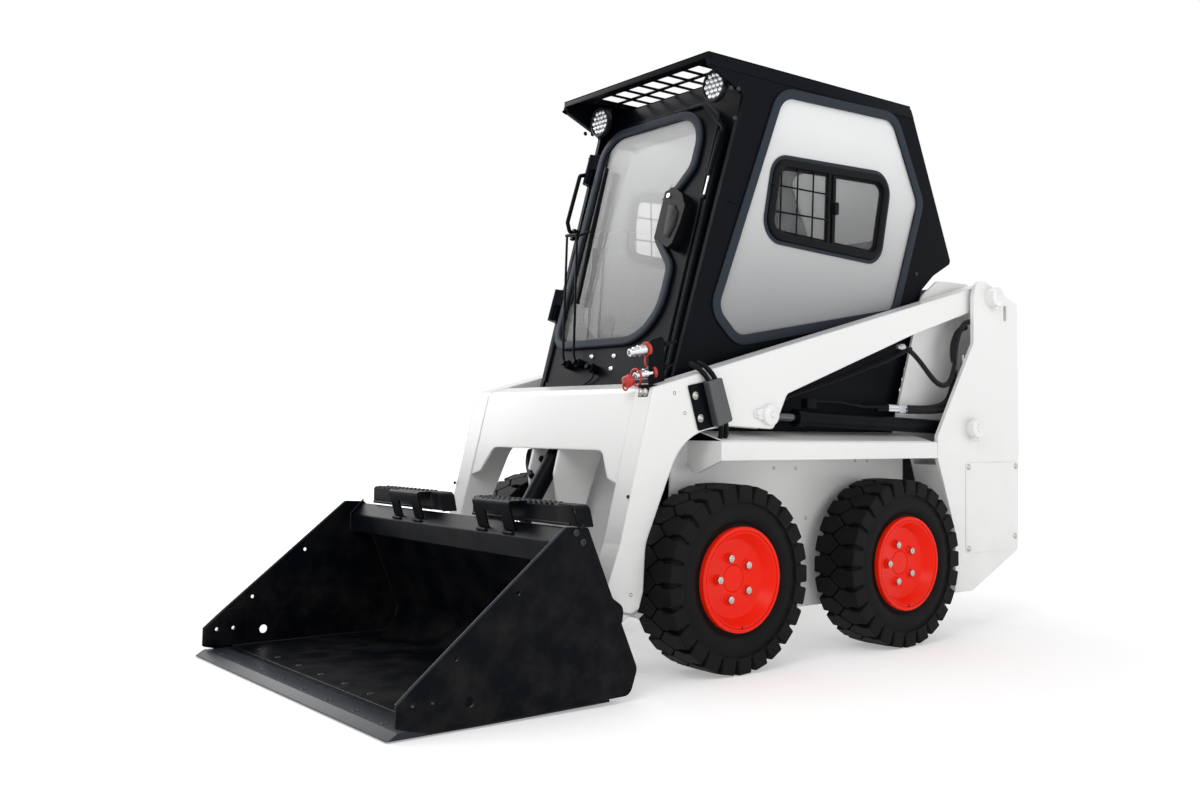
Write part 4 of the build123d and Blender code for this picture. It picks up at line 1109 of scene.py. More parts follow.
# %% [markdown]
# The cab door is a plate with rounded panes set in rubber. The seal is a profile pushed over
# the plate's edge, so it runs as one ring round the pane, a little proud of the steel. It could
# be a bevelled curve. A plate with a hole does as well, with the pane's own outline twice.
# %% Door seal
glass_rows = [(-318, 150, 50), (222, 150, 150), (222, 390, 60), (120, 500, 50),
              (122, 640, 60), (222, 760, 60), (222, 963, 130), (-318, 963, 90)]
glass_line = rounded(glass_rows, 8)
door_face = leaning(0)
seal_outer, seal_inner = 27, -3
seal = plate([widened(glass_line, seal_outer), widened(glass_line, seal_inner)], 15, door_face,
             bevel=6, rounds=4)
dressed(seal, "door_seal", "cab_door", "rubber", "seal_rubber_painted_sheen", sharp=60)
print("door seal round", len(glass_line), "points")

# %% [markdown]
# Along its latch side and its top the door is folded into lips that lead rain away. On its
# hinge side it has one. A fold with a round edge looks like a thin tube at this size, so bent
# tubes stand in for the lips.
# %% Door lips
inner_lip = bent(on(door_face, (312, 22, 5), (312, 930, 5), (222, 996, 5), (60, 996, 5)), 30)
outer_lip = bent(on(door_face, (342, 0, 5), (342, 880, 5), (200, 1004, 5)), 25)
middle_lip = bent(on(door_face, (327, 4, 3), (327, 905, 3), (214, 999, 3)), 25)
dressed(joined(tube(inner_lip, 6.5), tube(outer_lip, 7.5), tube(middle_lip, 4)),
        "door_gutter", "cab_door", "black_paint")
hinge_lip = tube(on(door_face, (-343, 5, 3), (-343, 880, 3)), 5)
dressed(hinge_lip, "door_hinge_lip", "cab_door", "black_paint")
print("door lips", [name for name in made if "lip" in name or "gutter" in name])

# %% [markdown]
# The latch sits in the notch of the pane: a moulded case on a base, with a handle and a turned
# lock. The three moulded parts are stacked plates whose wide bevels look moulded.
# %% Door latch
latch_rows = [(160, 658, 9), (200, 670, 12), (254, 638, 14), (285, 588, 12), (280, 527, 16),
              (263, 458, 14), (242, 445, 10), (159, 486, 16)]
handle_rows = [(196, 610, 8), (236, 600, 10), (262, 566, 10), (262, 520, 10), (243, 476, 8),
               (208, 492, 8)]
latch_line = rounded(latch_rows, 4)
base_plate = plate([latch_line], 14, door_face, bevel=3)
case = plate([widened(latch_line, -9)], 38, door_face, bevel=6)
handle = plate([rounded(handle_rows, 4)], 12, door_face @ Matrix.Translation((0, 0, 0.036)),
               bevel=4)
dressed(joined(base_plate, case, handle), "door_latch", "cab_door", "black_plastic")
lock = turned([(0, 7), (4, 7), (4.5, 5), (8.5, 5), (9.5, 4), (9.5, -12), (0, -12)],
              door_face @ Matrix.Translation((0.186, 0.640, 0.044)), 24)
dressed(lock, "door_lock", "cab_door", "rod_chrome", "silver")
print("latch", made[-2:])

# %% [markdown]
# A gas strut holds the door open: a black cylinder with a bright rod that ends in an eye.
# Tubes between three points are all that it takes.
# %% Door strut
strut_body = tube(on(door_face, (338, 700, 16), (346, 860, 16)), 8)
strut_rod = tube(on(door_face, (335, 626, 16), (338, 702, 16)), 4)
strut_eye = tube(on(door_face, (335, 626, 4), (335, 626, 20)), 7)
dressed(joined(strut_body, strut_eye), "door_strut", "cab_door", "black_paint")
dressed(strut_rod, "door_strut_rod", "cab_door", "rod_chrome")
print("strut", made[-2:])

# %% [markdown]
# The wiper's blade is carried by two parallel arms, so that it stays upright as it sweeps. A
# yoke joins their ends, a knee reaches down to the blade's back, and the arms turn on capped
# pivots. Its motor hides behind a cover inside the door.
# %% Wiper
outer_arm = tube(on(door_face, (-202, 61, 34), (-206, 90, 46), (-352, 552, 60)), 4.5)
inner_arm = tube(on(door_face, (-138, 63, 34), (-142, 92, 46), (-288, 548, 60)), 4.5)
yoke = tube(on(door_face, (-356, 556, 62), (-284, 551, 62)), 6)
knee = tube(bent(on(door_face, (-320, 553, 58), (-300, 560, 40), (-262, 575, 26)), 8), 4.5)
blade_back = tube(on(door_face, (-232, 300, 24), (-248, 575, 30), (-262, 832, 24)), 4)
pivots = [turned([(0, 44), (8, 44), (10, 41), (10, 30), (15, 28), (16, 24), (16, 0), (0, 0)],
                 door_face @ Matrix.Translation((x * mm, s * mm, 0)), 24)
          for x, s in ((-202, 61), (-138, 63), (-52, 42))]
dressed(joined(outer_arm, inner_arm, yoke, knee, blade_back, *pivots), "wiper_arms", "cab_door",
        "black_paint")
blade = plate([rounded([(-252, 296, 3), (-241, 296, 3), (-268, 838, 3), (-279, 838, 3)], 3)],
              15, door_face @ Matrix.Translation((0, 0, 0.008)), bevel=1)
dressed(blade, "wiper_blade", "cab_door", "rubber")
cover = plate([rounded([(-135, 20, 12), (-65, 20, 12), (-75, 262, 34), (-145, 262, 34)], 6)],
              10, leaning(0.05), bevel=2)
dressed(cover, "wiper_motor_cover", "cab_door", "black_plastic")
print("wiper", made[-3:])

# %% [markdown]
# Dome nuts close the screws below the pane, and the wiper's lead loops down from its pivot.
# %% Dome nuts and lead
dome_nut = turned([(0, 7), (4, 6.4), (8, 3.6), (10, 0.5), (10, 0), (0, -2)], AT_ORIGIN, 20)
domes = scattered(dome_nut, [(point, door_face.col[2][:3]) for point in
                             on(door_face, (32, 89, 0), (32, 43, 0), (-96, 92, 0))])
dressed(domes, "door_dome_nuts", "cab_door", "rod_chrome", "silver")
lead = tube(on(door_face, (-52, 40, 20), (-30, 18, 12), (-64, -6, 8), (-110, -14, 5),
               (-128, -28, 2)), 3.2, True)
dressed(lead, "wiper_lead", "cab_door", "rubber", "hose_cover")
print("pieces on the door", len(made) - made.index("door_seal"))

# %% [markdown]
# The grab handle by the door is bent from one tube, and each end stands on a screwed foot. It
# is fixed to the cab's post, so it stays when the door opens.
# %% Grab handle
grip_rows = ((-398, 835, 10), (-398, 815, 43), (-398, 622, 45), (-398, 594, 27),
             (-398, 590, 0))
grip = tube(bent(on(door_face, *grip_rows), 12), 8)
grip_feet = [block(-398, up, 20, 46, 12, door_face, turn=5, bevel=2) for up in (838, 588)]
dressed(joined(grip, joined(*grip_feet)), "grab_handle", "chassis", "black_paint")
print("handle", made[-1])

# %% [markdown]
# Each side window is one large pane in a rubber strip. The pane is a solid of the CAD model,
# so only the strip is made: a ring plate, widened from the pane's own outline.
# %% Side window strips
window_rows = [(-43, 1889, 80), (539, 1903, 70), (697, 1615, 60), (568, 1198, 50),
               (-220, 1053, 70), (-318, 1142, 60)]
window_line = rounded(window_rows, 8)
wall = flank(0)
strip_outer, strip_inner = 30, -4
strip = plate([widened(window_line, strip_outer), widened(window_line, strip_inner)], 7, wall,
              bevel=2.5, rounds=3)
pair(strip, "window_seal", "chassis", "rubber", "seal_rubber_painted_sheen", sharp=60)
print("strips", made[-2:])

# %% [markdown]
# A small sliding window sits in each side pane, in its own rounded frame: an outer and an
# inner ring, a post that both halves meet at, a rubber halo on the pane and a catch.
# %% Sliding windows
slider_rows = [(-66, 1676, 70), (537, 1694, 70), (484, 1368, 70), (-110, 1396, 70)]
slider_line = rounded(slider_rows, 8)
slider_face = flank(0.014)
frame_ring = plate([slider_line, widened(slider_line, -30)], 24, slider_face, bevel=8, rounds=4)
inner_ring = plate([widened(slider_line, -24), widened(slider_line, -38)], 12, slider_face,
                   bevel=2)
post = [block(x, 1533, 15, 296, 18, slider_face, turn=3, bevel=2) for x in (204, 230)]
frame_pair = pair(joined(frame_ring, inner_ring, *post), "slider_frame", "chassis",
                  "black_plastic", sharp=40)
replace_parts(frame_pair[0], "slider_frames")
halo = plate([widened(slider_line, 13), widened(slider_line, -4)], 3, flank(0.004), bevel=1)
pair(halo, "slider_halo", "chassis", "rubber", "seal_rubber_painted_sheen")
pane = plate([widened(slider_line, -26)], 4, flank(0.012), bevel=0.4)
pair(pane, "slider_pane", "chassis", "glass", "slider_glass")
print("sliders", [name for name in made if "slider" in name])

# %% [markdown]
# Thin welded bars guard the half of the window that opens. The catch and the strip's joint are
# small blocks.
# %% Window guards
uprights = [tube(on(wall, (y, low, 4), (y, high, 4)), 3)
            for y, low, high in ((-40, 1424, 1648), (40, 1418, 1652), (118, 1414, 1655))]
rails = [tube(on(wall, (-88, z, 7), (196, z, 7)), 3) for z in (1490, 1580)]
pair(joined(*uprights, *rails), "slider_guard", "chassis", "black_paint")
catch = block(232, 1535, 20, 44, 12, flank(-0.004), turn=5, bevel=2)
pair(catch, "slider_catch", "chassis", "black_plastic")
joint = block(-262, 1497, 34, 2.4, 8, wall, turn=0.8, bevel=0.4)
pair(joint, "window_seal_joint", "chassis", "rubber")
print("guards", made[-6:-4])

# %% [markdown]
# The roof is a thin sheet folded down all round, and it stands out over the door as a visor.
# Rows of openings in its front part let the driver look up. They are holes of the same plate,
# set by two ranges, so their number can change without a boolean.
# %% Roof
roof_rows = [(-407, -385, 6), (407, -385, 6), (407, 648, 10), (-407, 648, 10)]
roof_line = rounded(roof_rows, 3)
roof_thick = (roof_high.z - roof_low.z) / mm
sheet = 5
half_width, half_length = 33, 41
openings = [rounded([(x - half_width, y - half_length, 4), (x + half_width, y - half_length, 4),
                     (x + half_width, y + half_length, 4),
                     (x - half_width, y + half_length, 4)], 2)
            for x in range(-243, 244, 81) for y in (-270, -172, -74)]
roof_skin = plate([roof_line, *openings], sheet, level(roof_high.z - sheet * mm), bevel=1)
roof_fold = plate([roof_line, widened(roof_line, -sheet)], roof_thick, level(roof_low.z),
                  bevel=1)
ribs = [block(x, -172, 5, 300, 9, level(roof_high.z - 12 * mm), turn=1, bevel=0.5)
        for x in (-300, 300)]
roof = dressed(joined(roof_skin, roof_fold, *ribs), "cab_visor_and_roof", "chassis",
               "black_paint")
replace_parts(roof, "cab_roof")
print("openings in the roof", len(openings))

# %% [markdown]
# Where the roof's fold lies over a side panel, its lower edge shows as a thin flange. It is a
# narrow plate on the panel's plane.
# %% Roof flange
flange = plate([rounded([(-392, 1937, 2), (-372, 1962, 2), (642, 1962, 2), (660, 1930, 2),
                         (640, 1930, 2), (-372, 1930, 2)], 2)], 3, wall, bevel=0.8)
pair(flange, "roof_flange", "chassis", "black_paint")
print("flanges", made[-2:])

# %% [markdown]
# A work lamp is a round cast body with a field of 19 diodes under small domes: one in the
# middle, then rings of 6 and 12. The body is turned, the domes are set by a tree, and a ring's
# number gives its count and radius.
# %% Work lamps
lamp_low, lamp_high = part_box("work_lamps")
lamp_radius = (lamp_high.z - lamp_low.z) / 2 / mm
lamp_x = lamp_high.x / mm - lamp_radius
lamp_z = (lamp_high.z + lamp_low.z) / 2 / mm
lamp_depth = (lamp_high.y - lamp_low.y) / mm
lamp_profile = [(0, 0), (26, 0), (40, 8), (lamp_radius - 2, 18), (lamp_radius, 22),
                (lamp_radius, lamp_depth - 2), (lamp_radius - 2, lamp_depth),
                (lamp_radius - 6, lamp_depth), (lamp_radius - 7, lamp_depth - 5),
                (0, lamp_depth - 5)]
lens_profile = [(0, 5.5), (3.5, 5), (6.5, 3.4), (8.6, 1), (9.2, 0), (9.2, -2), (0, -2)]
lens_step = 19.4
lens_spots = [(0, 0)]
for ring_number in (1, 2):
    for step in range(6 * ring_number):
        turn_now = math.tau * step / (6 * ring_number)
        reach = lens_step * ring_number * (1 if ring_number == 1 or step % 2 == 0 else 0.92)
        lens_spots.append((reach * math.cos(turn_now), reach * math.sin(turn_now)))
lamp_face = front(lamp_high.y - datum_y)
shells, lenses, ties = [], [], []
for hand in (-1, 1):
    middle = lamp_face @ Matrix.Translation((hand * lamp_x * mm, lamp_z * mm, 0))
    shells.append(turned(lamp_profile, middle, 64))
    lenses.append(scattered(turned(lens_profile, AT_ORIGIN, 18),
                            [(on(middle, (x, z, lamp_depth - 5))[0], lamp_face.col[2][:3])
                             for x, z in lens_spots]))
    ties.append(block(0, 26, 26, 64, 6, middle @ Matrix.Translation((0, 0, -0.008)), turn=3,
                      bevel=1))
lamp_body = dressed(joined(*shells, *ties), "lamp_bodies", "chassis", "lamp_housing")
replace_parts(lamp_body, "work_lamps")
dressed(joined(*lenses), "lamp_lenses", "chassis", "lamp_housing", "led_lens")
print("diodes in a lamp", len(lens_spots))

# %% [markdown]
# Four flat bolts hold each side panel to the cab's posts. One bolt is turned and the tree
# sets it on the panel, facing out of it.
# %% Side panel bolts
flat_head = turned([(0, 5), (6, 4.5), (8, 2), (8, 0), (0, -1)], AT_ORIGIN, 16)
bolts = scattered(flat_head, [(point, wall.col[2][:3]) for point in
                              on(wall, (-283, 1872, 0), (-250, 1875, 0), (-262, 1775, 0),
                                 (700, 1345, 0))])
pair(bolts, "side_panel_bolts", "chassis", "black_paint", "black_bolt")
print("pieces of the cab", len(made) - made.index("door_seal"))

# %% [markdown]
# A bucket is folded from one sheet and closed by two side plates, so it has a weld bead along
# each inside corner, one behind the lip and one under the heel. The beads follow the corner's
# own line, and the tree gives them their ripples.
# %% Bucket welds
bucket_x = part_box("bucket")[1].x / mm
bucket_wall = 6
inside_x = bucket_x - bucket_wall
corner_path = [(-1500, 24), (-1200, 24), (-960, 24), (-932, 34), (-912, 62), (-906, 110),
               (-975, 285), (-1044, 455)]
lip_path = [(-1046, 488), (-1094, 441), (-1092, 384)]
heel_path = [(-1500, 8), (-1380, 8), (-1200, 10), (-960, 14)]
fillets = [welded(at(*[(hand * x, y, z) for y, z in path]), radius, ripple)
           for path, x, radius, ripple in ((corner_path, inside_x - 3, 4.5, 9),
                                           (lip_path, inside_x - 2, 3.5, 8),
                                           (heel_path, bucket_x - 4, 3.5, 8))
           for hand in (-1, 1)]
dressed(joined(*fillets), "bucket_welds", "bucket", "black_paint", "weld_metal", sharp=70)
print("beads in the bucket", len(fillets))

# %% [markdown]
# The front corners of the sides wear first, so a second plate doubles each of them inside. It
# is drilled for the bolts of side cutters.
# %% Corner doublers
doubler_rows = [(-1594, 33, 6), (-1594, 86, 10), (-1536, 138, 18), (-1500, 150, 20),
                (-1467, 148, 3), (-1465, 26, 3)]
doubler_outlines = [rounded(doubler_rows, 4), circle(-1553, 83, 6.5), circle(-1499, 83, 6.5)]
doublers = [plate(doubler_outlines, bucket_wall, side(x * mm), bevel=1)
            for x in (-inside_x, inside_x - bucket_wall)]
dressed(joined(*doublers), "bucket_corner_doublers", "bucket", "black_paint")
print("doublers", len(doublers))

# %% [markdown]
# The cutting edge is a thicker, harder bar, ground to a bevel at its front. It is one plate
# across the bucket, drawn in side view, with a bead behind it and countersunk bolts through it
# that a tree sets in two rows.
# %% Cutting edge
edge_rows = [(-1617, 4.6, 0.6), (-1500, 5, 0.6), (-1500, 21, 1), (-1590, 21.5, 2)]
edge_top = 22
edge_bar = plate([rounded(edge_rows, 2)], 2 * bucket_x - 2, side(-(bucket_x - 1) * mm),
                 bevel=0.5)
dressed(edge_bar, "cutting_edge", "bucket", "black_paint", "edge_steel")
edge_bead = welded(at((-inside_x, -1499, edge_top + 1), (0, -1499, edge_top + 1),
                      (inside_x, -1499, edge_top + 1)), 2.2, 9)
dressed(joined(edge_bead), "cutting_edge_weld", "bucket", "black_paint", "weld_metal",
        sharp=70)
countersunk = turned([(0, -1.5), (3.5, -1.5), (4.5, 0.6), (9, 0.9), (10, 0.3), (10, -3),
                      (0, -3)], AT_ORIGIN, 20)
edge_spots = [(x, y, edge_top) for x in range(-560, 561, 160) for y in (-1570, -1450)]
dressed(scattered(countersunk, faced(edge_spots, (0, 0, 1))), "edge_bolts", "bucket",
        "black_paint", "black_bolt")
print("bolts in the edge", len(edge_spots))

# %% [markdown]
# Two bolts stand out of each side at the back, and the upper edge of the sides is worn bright
# where it rubs. A thin tube along that edge gives it its roundness.
# %% Bucket sides
side_bolt = turned([(0, 3), (4, 3), (5, 5), (8.5, 5), (9.5, 3.5), (9.5, -1), (0, -1)],
                   AT_ORIGIN, 20)
side_rows = [row for hand in (-1, 1)
             for row in faced([(hand * (bucket_x - 0.5), -1080, 470),
                               (hand * (bucket_x - 0.5), -1057, 444)], (hand, 0, 0))]
dressed(scattered(side_bolt, side_rows), "bucket_side_bolts", "bucket", "black_paint",
        "black_bolt")
worn_rows = [(-1596, 89), (-1545, 133), (-1113, 486)]
for hand, tag in ((-1, "right"), (1, "left")):
    rim = tube(at(*[(hand * (bucket_x - 3), y, z - 2.5) for y, z in worn_rows]), 3.6)
    dressed(rim, f"bucket_side_rim_{tag}", "bucket", "black_paint", "edge_steel")
print("bolts in the sides", len(side_rows))

# %% [markdown]
# The two steps on the bucket's back edge are bent plates of the CAD model. Their treads are
# pressed with two rows of small collars that grip a boot, and a shorter row in front. One
# collar is turned and the rows tree sets the rest, with the spacing worked out from the width.
# %% Step treads
step_top = 0.5395
collar_rows = [(3.2, -2), (6.5, -2), (6.5, 0.6), (4.6, 2.6), (3.6, 2.6), (3.2, 0)]
treads = []
for middle_x, width, across_count in ((317, 400, 15), (-370, 360, 13)):
    place = axes((middle_x * mm, datum_y - 1.030, step_top), (1, 0, 0), (0, 1, 0))
    treads.append(repeated(in_rows, turned(collar_rows, AT_ORIGIN, 12), {
        "Across": across_count, "Up": 2, "Step across": width * mm / across_count,
        "Step up": 0.032}, place))
    place = axes((middle_x * mm - 0.045, datum_y - 1.082, step_top), (1, 0, 0), (0, 1, 0))
    treads.append(repeated(in_rows, turned(collar_rows, AT_ORIGIN, 12), {
        "Across": 6, "Up": 1, "Step across": 0.028, "Step up": 0.03}, place))
dressed(joined(*treads), "step_treads", "bucket", "black_paint", "edge_steel")
print("treads", len(treads))

# %% [markdown]
# Each foot of a step is welded to the bucket's lip, and its long back edge on both sides. A
# gusset plate closes the open end of each step.
# %% Step welds and end plates
beads = []
for start_x, stop_x in ((172, 222), (316, 366), (-361, -311), (-222, -172)):
    beads.append(welded(at((start_x, -1083, 447), (stop_x, -1083, 447)), 5, 9))
for start_x, stop_x in ((92, 600), (-570, -170)):
    for y in (-1050, -1041):
        beads.append(welded(at((start_x, y, 486), (stop_x, y, 486)), 4, 9))
dressed(joined(*beads), "step_welds", "bucket", "black_paint", "weld_metal", sharp=70)
gussets = []
for inner_x, top_x, outer_x in ((542, 606, 638), (-172, -112, -92)):
    gusset_rows = [(inner_x, 482, 1), (inner_x, 536, 2), (top_x, 536, 24), (outer_x, 482, 1)]
    gussets.append(plate([rounded(gusset_rows, 4)], 5, front(-1.046), bevel=1))
dressed(joined(*gussets), "step_end_plates", "bucket", "black_paint")
print("bucket pieces", len([name for name in made if "bucket" in name]))

# %% [markdown]
# The arms are box sections of the CAD model. The lift cylinder's pin goes through them, and a
# keeper with a screw stops it from turning. The keeper is one turned head, one turned screw
# and a block that joins them.
# %% Lift pin keepers
arm_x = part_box("arm_left")[1].x / mm
arm_side = side(arm_x * mm)
keeper = [turned([(0, 26), (9, 26), (11, 24), (11, 19), (30, 17), (34, 14), (34, -1), (0, -1)],
                 arm_side @ Matrix.Translation((-0.195, 0.796, 0)), 40),
          turned([(0, 18), (7, 18), (9, 16), (9, 9), (15, 8), (15, -1), (0, -1)],
                 arm_side @ Matrix.Translation((-0.252, 0.799, 0)), 6),
          block(-222, 798, 64, 36, 9, arm_side, turn=14, bevel=2)]
pair(joined(*keeper), "lift_pin_keeper", "lift_arm", "white_paint")
print("keepers", made[-2:])

# %% [markdown]
# Small drilled holes in the arm's face look like dark dots with a burr. A real hole would need
# a boolean in the CAD solid, so a shallow dark dish with a rim stands for each: its black is
# painted shade of the hole's inside. A bead runs round the toe of the arm, where it is welded to
# the pivot's tube.
# %% Arm holes and toe weld
hole = turned([(0, -3), (4.2, -3), (4.2, 0.5), (5.6, 0.5), (5.6, -1), (0, -4)], AT_ORIGIN, 16)
hole_spots = [(arm_x, -597, 856), (arm_x, -555, 796), (arm_x, -772, 548), (arm_x, -758, 262)]
pair(scattered(hole, faced(hole_spots, (1, 0, 0))), "arm_side_holes", "lift_arm",
     "black_paint", "black_bolt")
toe_weld = welded(at((arm_x + 1, -806, 228), (arm_x + 1, -786, 212), (arm_x + 1, -758, 205),
                     (arm_x + 1, -734, 212)), 3, 8)
pair(toe_weld, "arm_toe_weld", "lift_arm", "white_paint", "cut_steel", sharp=70)
print("holes in an arm", len(hole_spots))

# %% [markdown]
# Two steel lines carry the oil along the underside of each arm. They follow the arm's own
# slope, so both are tubes on one line, side by side.
# %% Steel lines
lower_run = [(-97, 864), (180, 938), (420, 1010), (560, 1062)]
lines = [tube(at(*[(x, y, z + lift) for y, z in lower_run]), 6.5)
         for x, lift in ((446, -10), (474, -12))]
pair(joined(*lines), "arm_steel_lines", "lift_arm", "black_paint")
print("lines", made[-2:])

# %% [markdown]
# Two hoses run down through a small guard box on the left arm, and the bracket behind it is
# screwed on with two dome bolts. Box and bracket are plates with rounded corners, seen from
# the side.
# %% Hose box
box_rows = [(-487, 894, 6), (-431, 908, 6), (-383, 775, 8), (-444, 755, 8)]
bracket_rows = [(-546, 880, 4), (-470, 896, 4), (-428, 758, 6), (-502, 742, 6)]
box = plate([rounded(box_rows, 4)], 30, side((arm_x + 3) * mm), bevel=3)
bracket = plate([rounded(bracket_rows, 4)], 6, side((arm_x + 0.5) * mm), bevel=1.2)
hose_box = dressed(box, "hose_box", "lift_arm", "black_plastic", "box_plastic")
dressed(bracket, "hose_box_bracket", "lift_arm", "black_paint")
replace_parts(hose_box, "arm_fittings")
dome = turned([(0, 8), (4, 7.4), (8, 4.4), (9.5, 1), (12, 0.8), (12, -1), (0, -1)],
              AT_ORIGIN, 24)
box_bolts = faced([(arm_x + 6.5, -518, 850), (arm_x + 6.5, -496, 781)], (1, 0, 0))
dressed(scattered(dome, box_bolts), "hose_box_bolts", "lift_arm", "rod_chrome", "zinc")
print("hose box", made[-3:])

# %% [markdown]
# The hoses of the box come over the arm's edge and leave below it towards the cross member.
# Both ends are held, so each is a smooth curve through four given points.
# %% Hoses of the box
upper_hose = [(-20, -520, 950), (4, -505, 940), (18, -482, 915), (18, -466, 880)]
upper_back = [(-20, -488, 955), (4, -474, 945), (18, -452, 920), (18, -438, 885)]
lower_hose = [(16, -425, 775), (16, -415, 745), (4, -408, 722), (-12, -404, 712)]
lower_back = [(x, y + 22, z + 5) for x, y, z in lower_hose]
down_hoses = [tube(at(*[(arm_x + x, y, z) for x, y, z in route]), 8, True)
              for route in (upper_hose, upper_back, lower_hose, lower_back)]
dressed(joined(*down_hoses), "hose_box_hoses", "lift_arm", "rubber", "hose_cover")
print("hoses at the box", len(down_hoses))

# %% [markdown]
# Quick couplers are plugged by hand, so they stand in reach on a plate at the front of the
# arm. The plate has a folded foot that is screwed down, and two rods with nuts lead from the
# couplers to the inside.
# %% Coupler bracket
coupler_plate_rows = [(-652, 872, 6), (-652, 1016, 12), (-594, 1034, 12), (-590, 872, 6)]
bracket_side = side(0.440)
coupler_plate = plate([rounded(coupler_plate_rows, 4)], 6, bracket_side, bevel=1.2)
foot_tab = block(462, 858, 46, 40, 6, front(-0.684), turn=4, bevel=1.2)
foot_fold = block(-667, 876, 44, 8, 44, bracket_side, turn=2, bevel=1)
rods = [tube(at((443, -600, z), (436, -560, z + 8), (430, -532, z + 14)), 4)
        for z in (1006, 936)]
rod_nuts = [tube(at((441, -590, z + 2), (437, -572, z + 5)), 9, sides=1)
            for z in (1006, 936)]
dressed(joined(coupler_plate, foot_tab, foot_fold, *rods, *rod_nuts), "coupler_bracket",
        "lift_arm", "black_paint")
print("bracket", made[-1])

# %% [markdown]
# A coupler is a turned plug with a thicker sleeve. Each wears a red collar, and a red dust cap
# hangs below them on a strap and two rings. What is round about one axis is turned, and the
# strap and the rings are tubes.
# %% Quick couplers
def ring_line(x, y, z, radius, lean, steps):
    """Points of a ring hung at (x, y from the datum, z), leaning in y, in millimetres."""
    turns = [math.tau * k / steps for k in range(steps + 1)]
    return at(*[(x + radius * math.cos(t), y - lean * math.sin(t), z + radius * math.sin(t))
                for t in turns])


coupler_profile = [(0, 0), (8, 0), (12, 3), (12, 20), (14, 22), (14, 34), (16.5, 36),
                   (16.5, 62), (14.5, 64), (14.5, 80), (12, 82), (12, 96), (10.5, 98),
                   (7, 98), (7, 90), (0, 90)]
couplers, caps = [], []
for z, start_y in ((996, -622), (926, -600)):
    aim = axes((0.430, datum_y + start_y * mm, z * mm), (1, 0, 0), (0, -0.22, 1))
    couplers.append(turned(coupler_profile, aim, 48))
    caps.append(turned([(12, 24), (22, 24), (23, 26), (23, 33), (22, 35), (12, 35)], aim, 40))
strap = tube(at((430, -650, 972), (433, -662, 958), (436, -662, 946), (430, -650, 938)), 3.4,
             True)
caps += [tube(ring_line(430, -690, 902, 25, 4, 20), 3.6), strap]
cap_end = turned([(0, 0), (15, 0), (19, 4), (19, 24), (15, 28), (0, 28)],
                 axes((0.428, datum_y - 0.706, 0.896), (1, 0, 0), (0, -0.5, 1)), 36)
small_ring = tube(ring_line(426, -728, 874, 12, 0, 16), 3)
dressed(joined(*couplers), "quick_couplers", "lift_arm", "rod_chrome", "silver")
dressed(joined(*caps, cap_end, small_ring), "coupler_caps", "lift_arm", "black_plastic",
        "red_plastic", sharp=50)
foot_bolts = faced([(452, -690.5, 857), (474, -690.5, 857)], (0, -1, 0))
dressed(scattered(dome, foot_bolts), "coupler_bracket_bolts", "lift_arm", "rod_chrome",
        "zinc")
print("couplers", made[-3:])

# %% [markdown]
# Hoses bridge the joints. Each end is held, so the hose runs as a smooth curve between its
# ends, and a spiral guard wound round it keeps it from chafing. A simulated cord would not end
# at its fittings, so the routes are drawn through the free space between tower, arm and
# cylinder.
# %% Hose routes
arm_run = [(468, 526, 1055), (474, 556, 1042), (494, 586, 1004), (502, 640, 945),
           (502, 700, 912), (502, 752, 926), (502, 782, 985), (502, 785, 1060),
           (502, 815, 1140), (500, 862, 1172), (494, 905, 1165)]
loop_run = [(462, 905, 1150), (466, 862, 1142), (472, 818, 1105), (474, 800, 1050),
            (472, 815, 1010)]
near_run = [(468, 827, 985), (468, 820, 940), (468, 805, 888), (468, 770, 852),
            (468, 700, 834), (466, 620, 832), (464, 532, 832)]
far_run = [(480, 862, 985), (480, 860, 930), (480, 846, 880), (478, 806, 842),
           (476, 730, 824), (470, 640, 822), (464, 532, 822)]
hose_radius, arm_hose_radius = 8.5, 7
guard_pitch, guard_wire = 8.5, 2.6


def guarded(rows, radius):
    """A hose and its spiral guard along rows of (x, y from the datum, z)."""
    points = at(*rows)
    guard = grown(wound, line_curve(points, True), {
        "Radius": (radius + 1) * mm, "Pitch": guard_pitch * mm, "Wire": guard_wire * mm})
    return tube(points, radius, True), guard


def handed(mesh, hand):
    """The mesh as drawn for the left, hand 1, or mirrored for the right, hand -1."""
    return mesh if hand == 1 else mirrored(mesh)


def held_at(row, hand):
    """Point where a hose is held on one hand's side."""
    return at((hand * row[0], *row[1:]))[0]


print("guard wire", guard_wire, "mm thick")

# %% [markdown]
# On each side one guarded hose bridges the arm's pivot and two feed the cylinder. Each stays
# where it is drawn. A fourth one loops inside the tower and doesn't move.
# %% Guarded hoses
def hang_hoses(hand, tag):
    """The guarded hoses of one side."""
    barrel = f"lift_barrel_{tag}"
    for label, rows, radius, body, fixed, moved in (
            ("arm", arm_run, arm_hose_radius, "lift_arm", arm_run[-1], arm_run[0]),
            ("near", near_run, hose_radius, barrel, near_run[0], near_run[-1]),
            ("far", far_run, hose_radius, barrel, far_run[0], far_run[-1])):
        span = ("chassis", body, held_at(fixed, hand), held_at(moved, hand))
        hose, guard = guarded(rows, radius)
        dressed(handed(hose, hand), f"hose_{label}_{tag}", span, "rubber", "hose_cover")
        dressed(handed(guard, hand), f"hose_guard_{label}_{tag}", span, "black_plastic",
                "spiral_guard")
    hose, guard = guarded(loop_run, hose_radius)
    dressed(handed(joined(hose, guard), hand), f"hose_loop_{tag}", "chassis",
            "black_plastic", "spiral_guard")


print("routes drawn through", [len(run) for run in (arm_run, near_run, far_run)], "points")

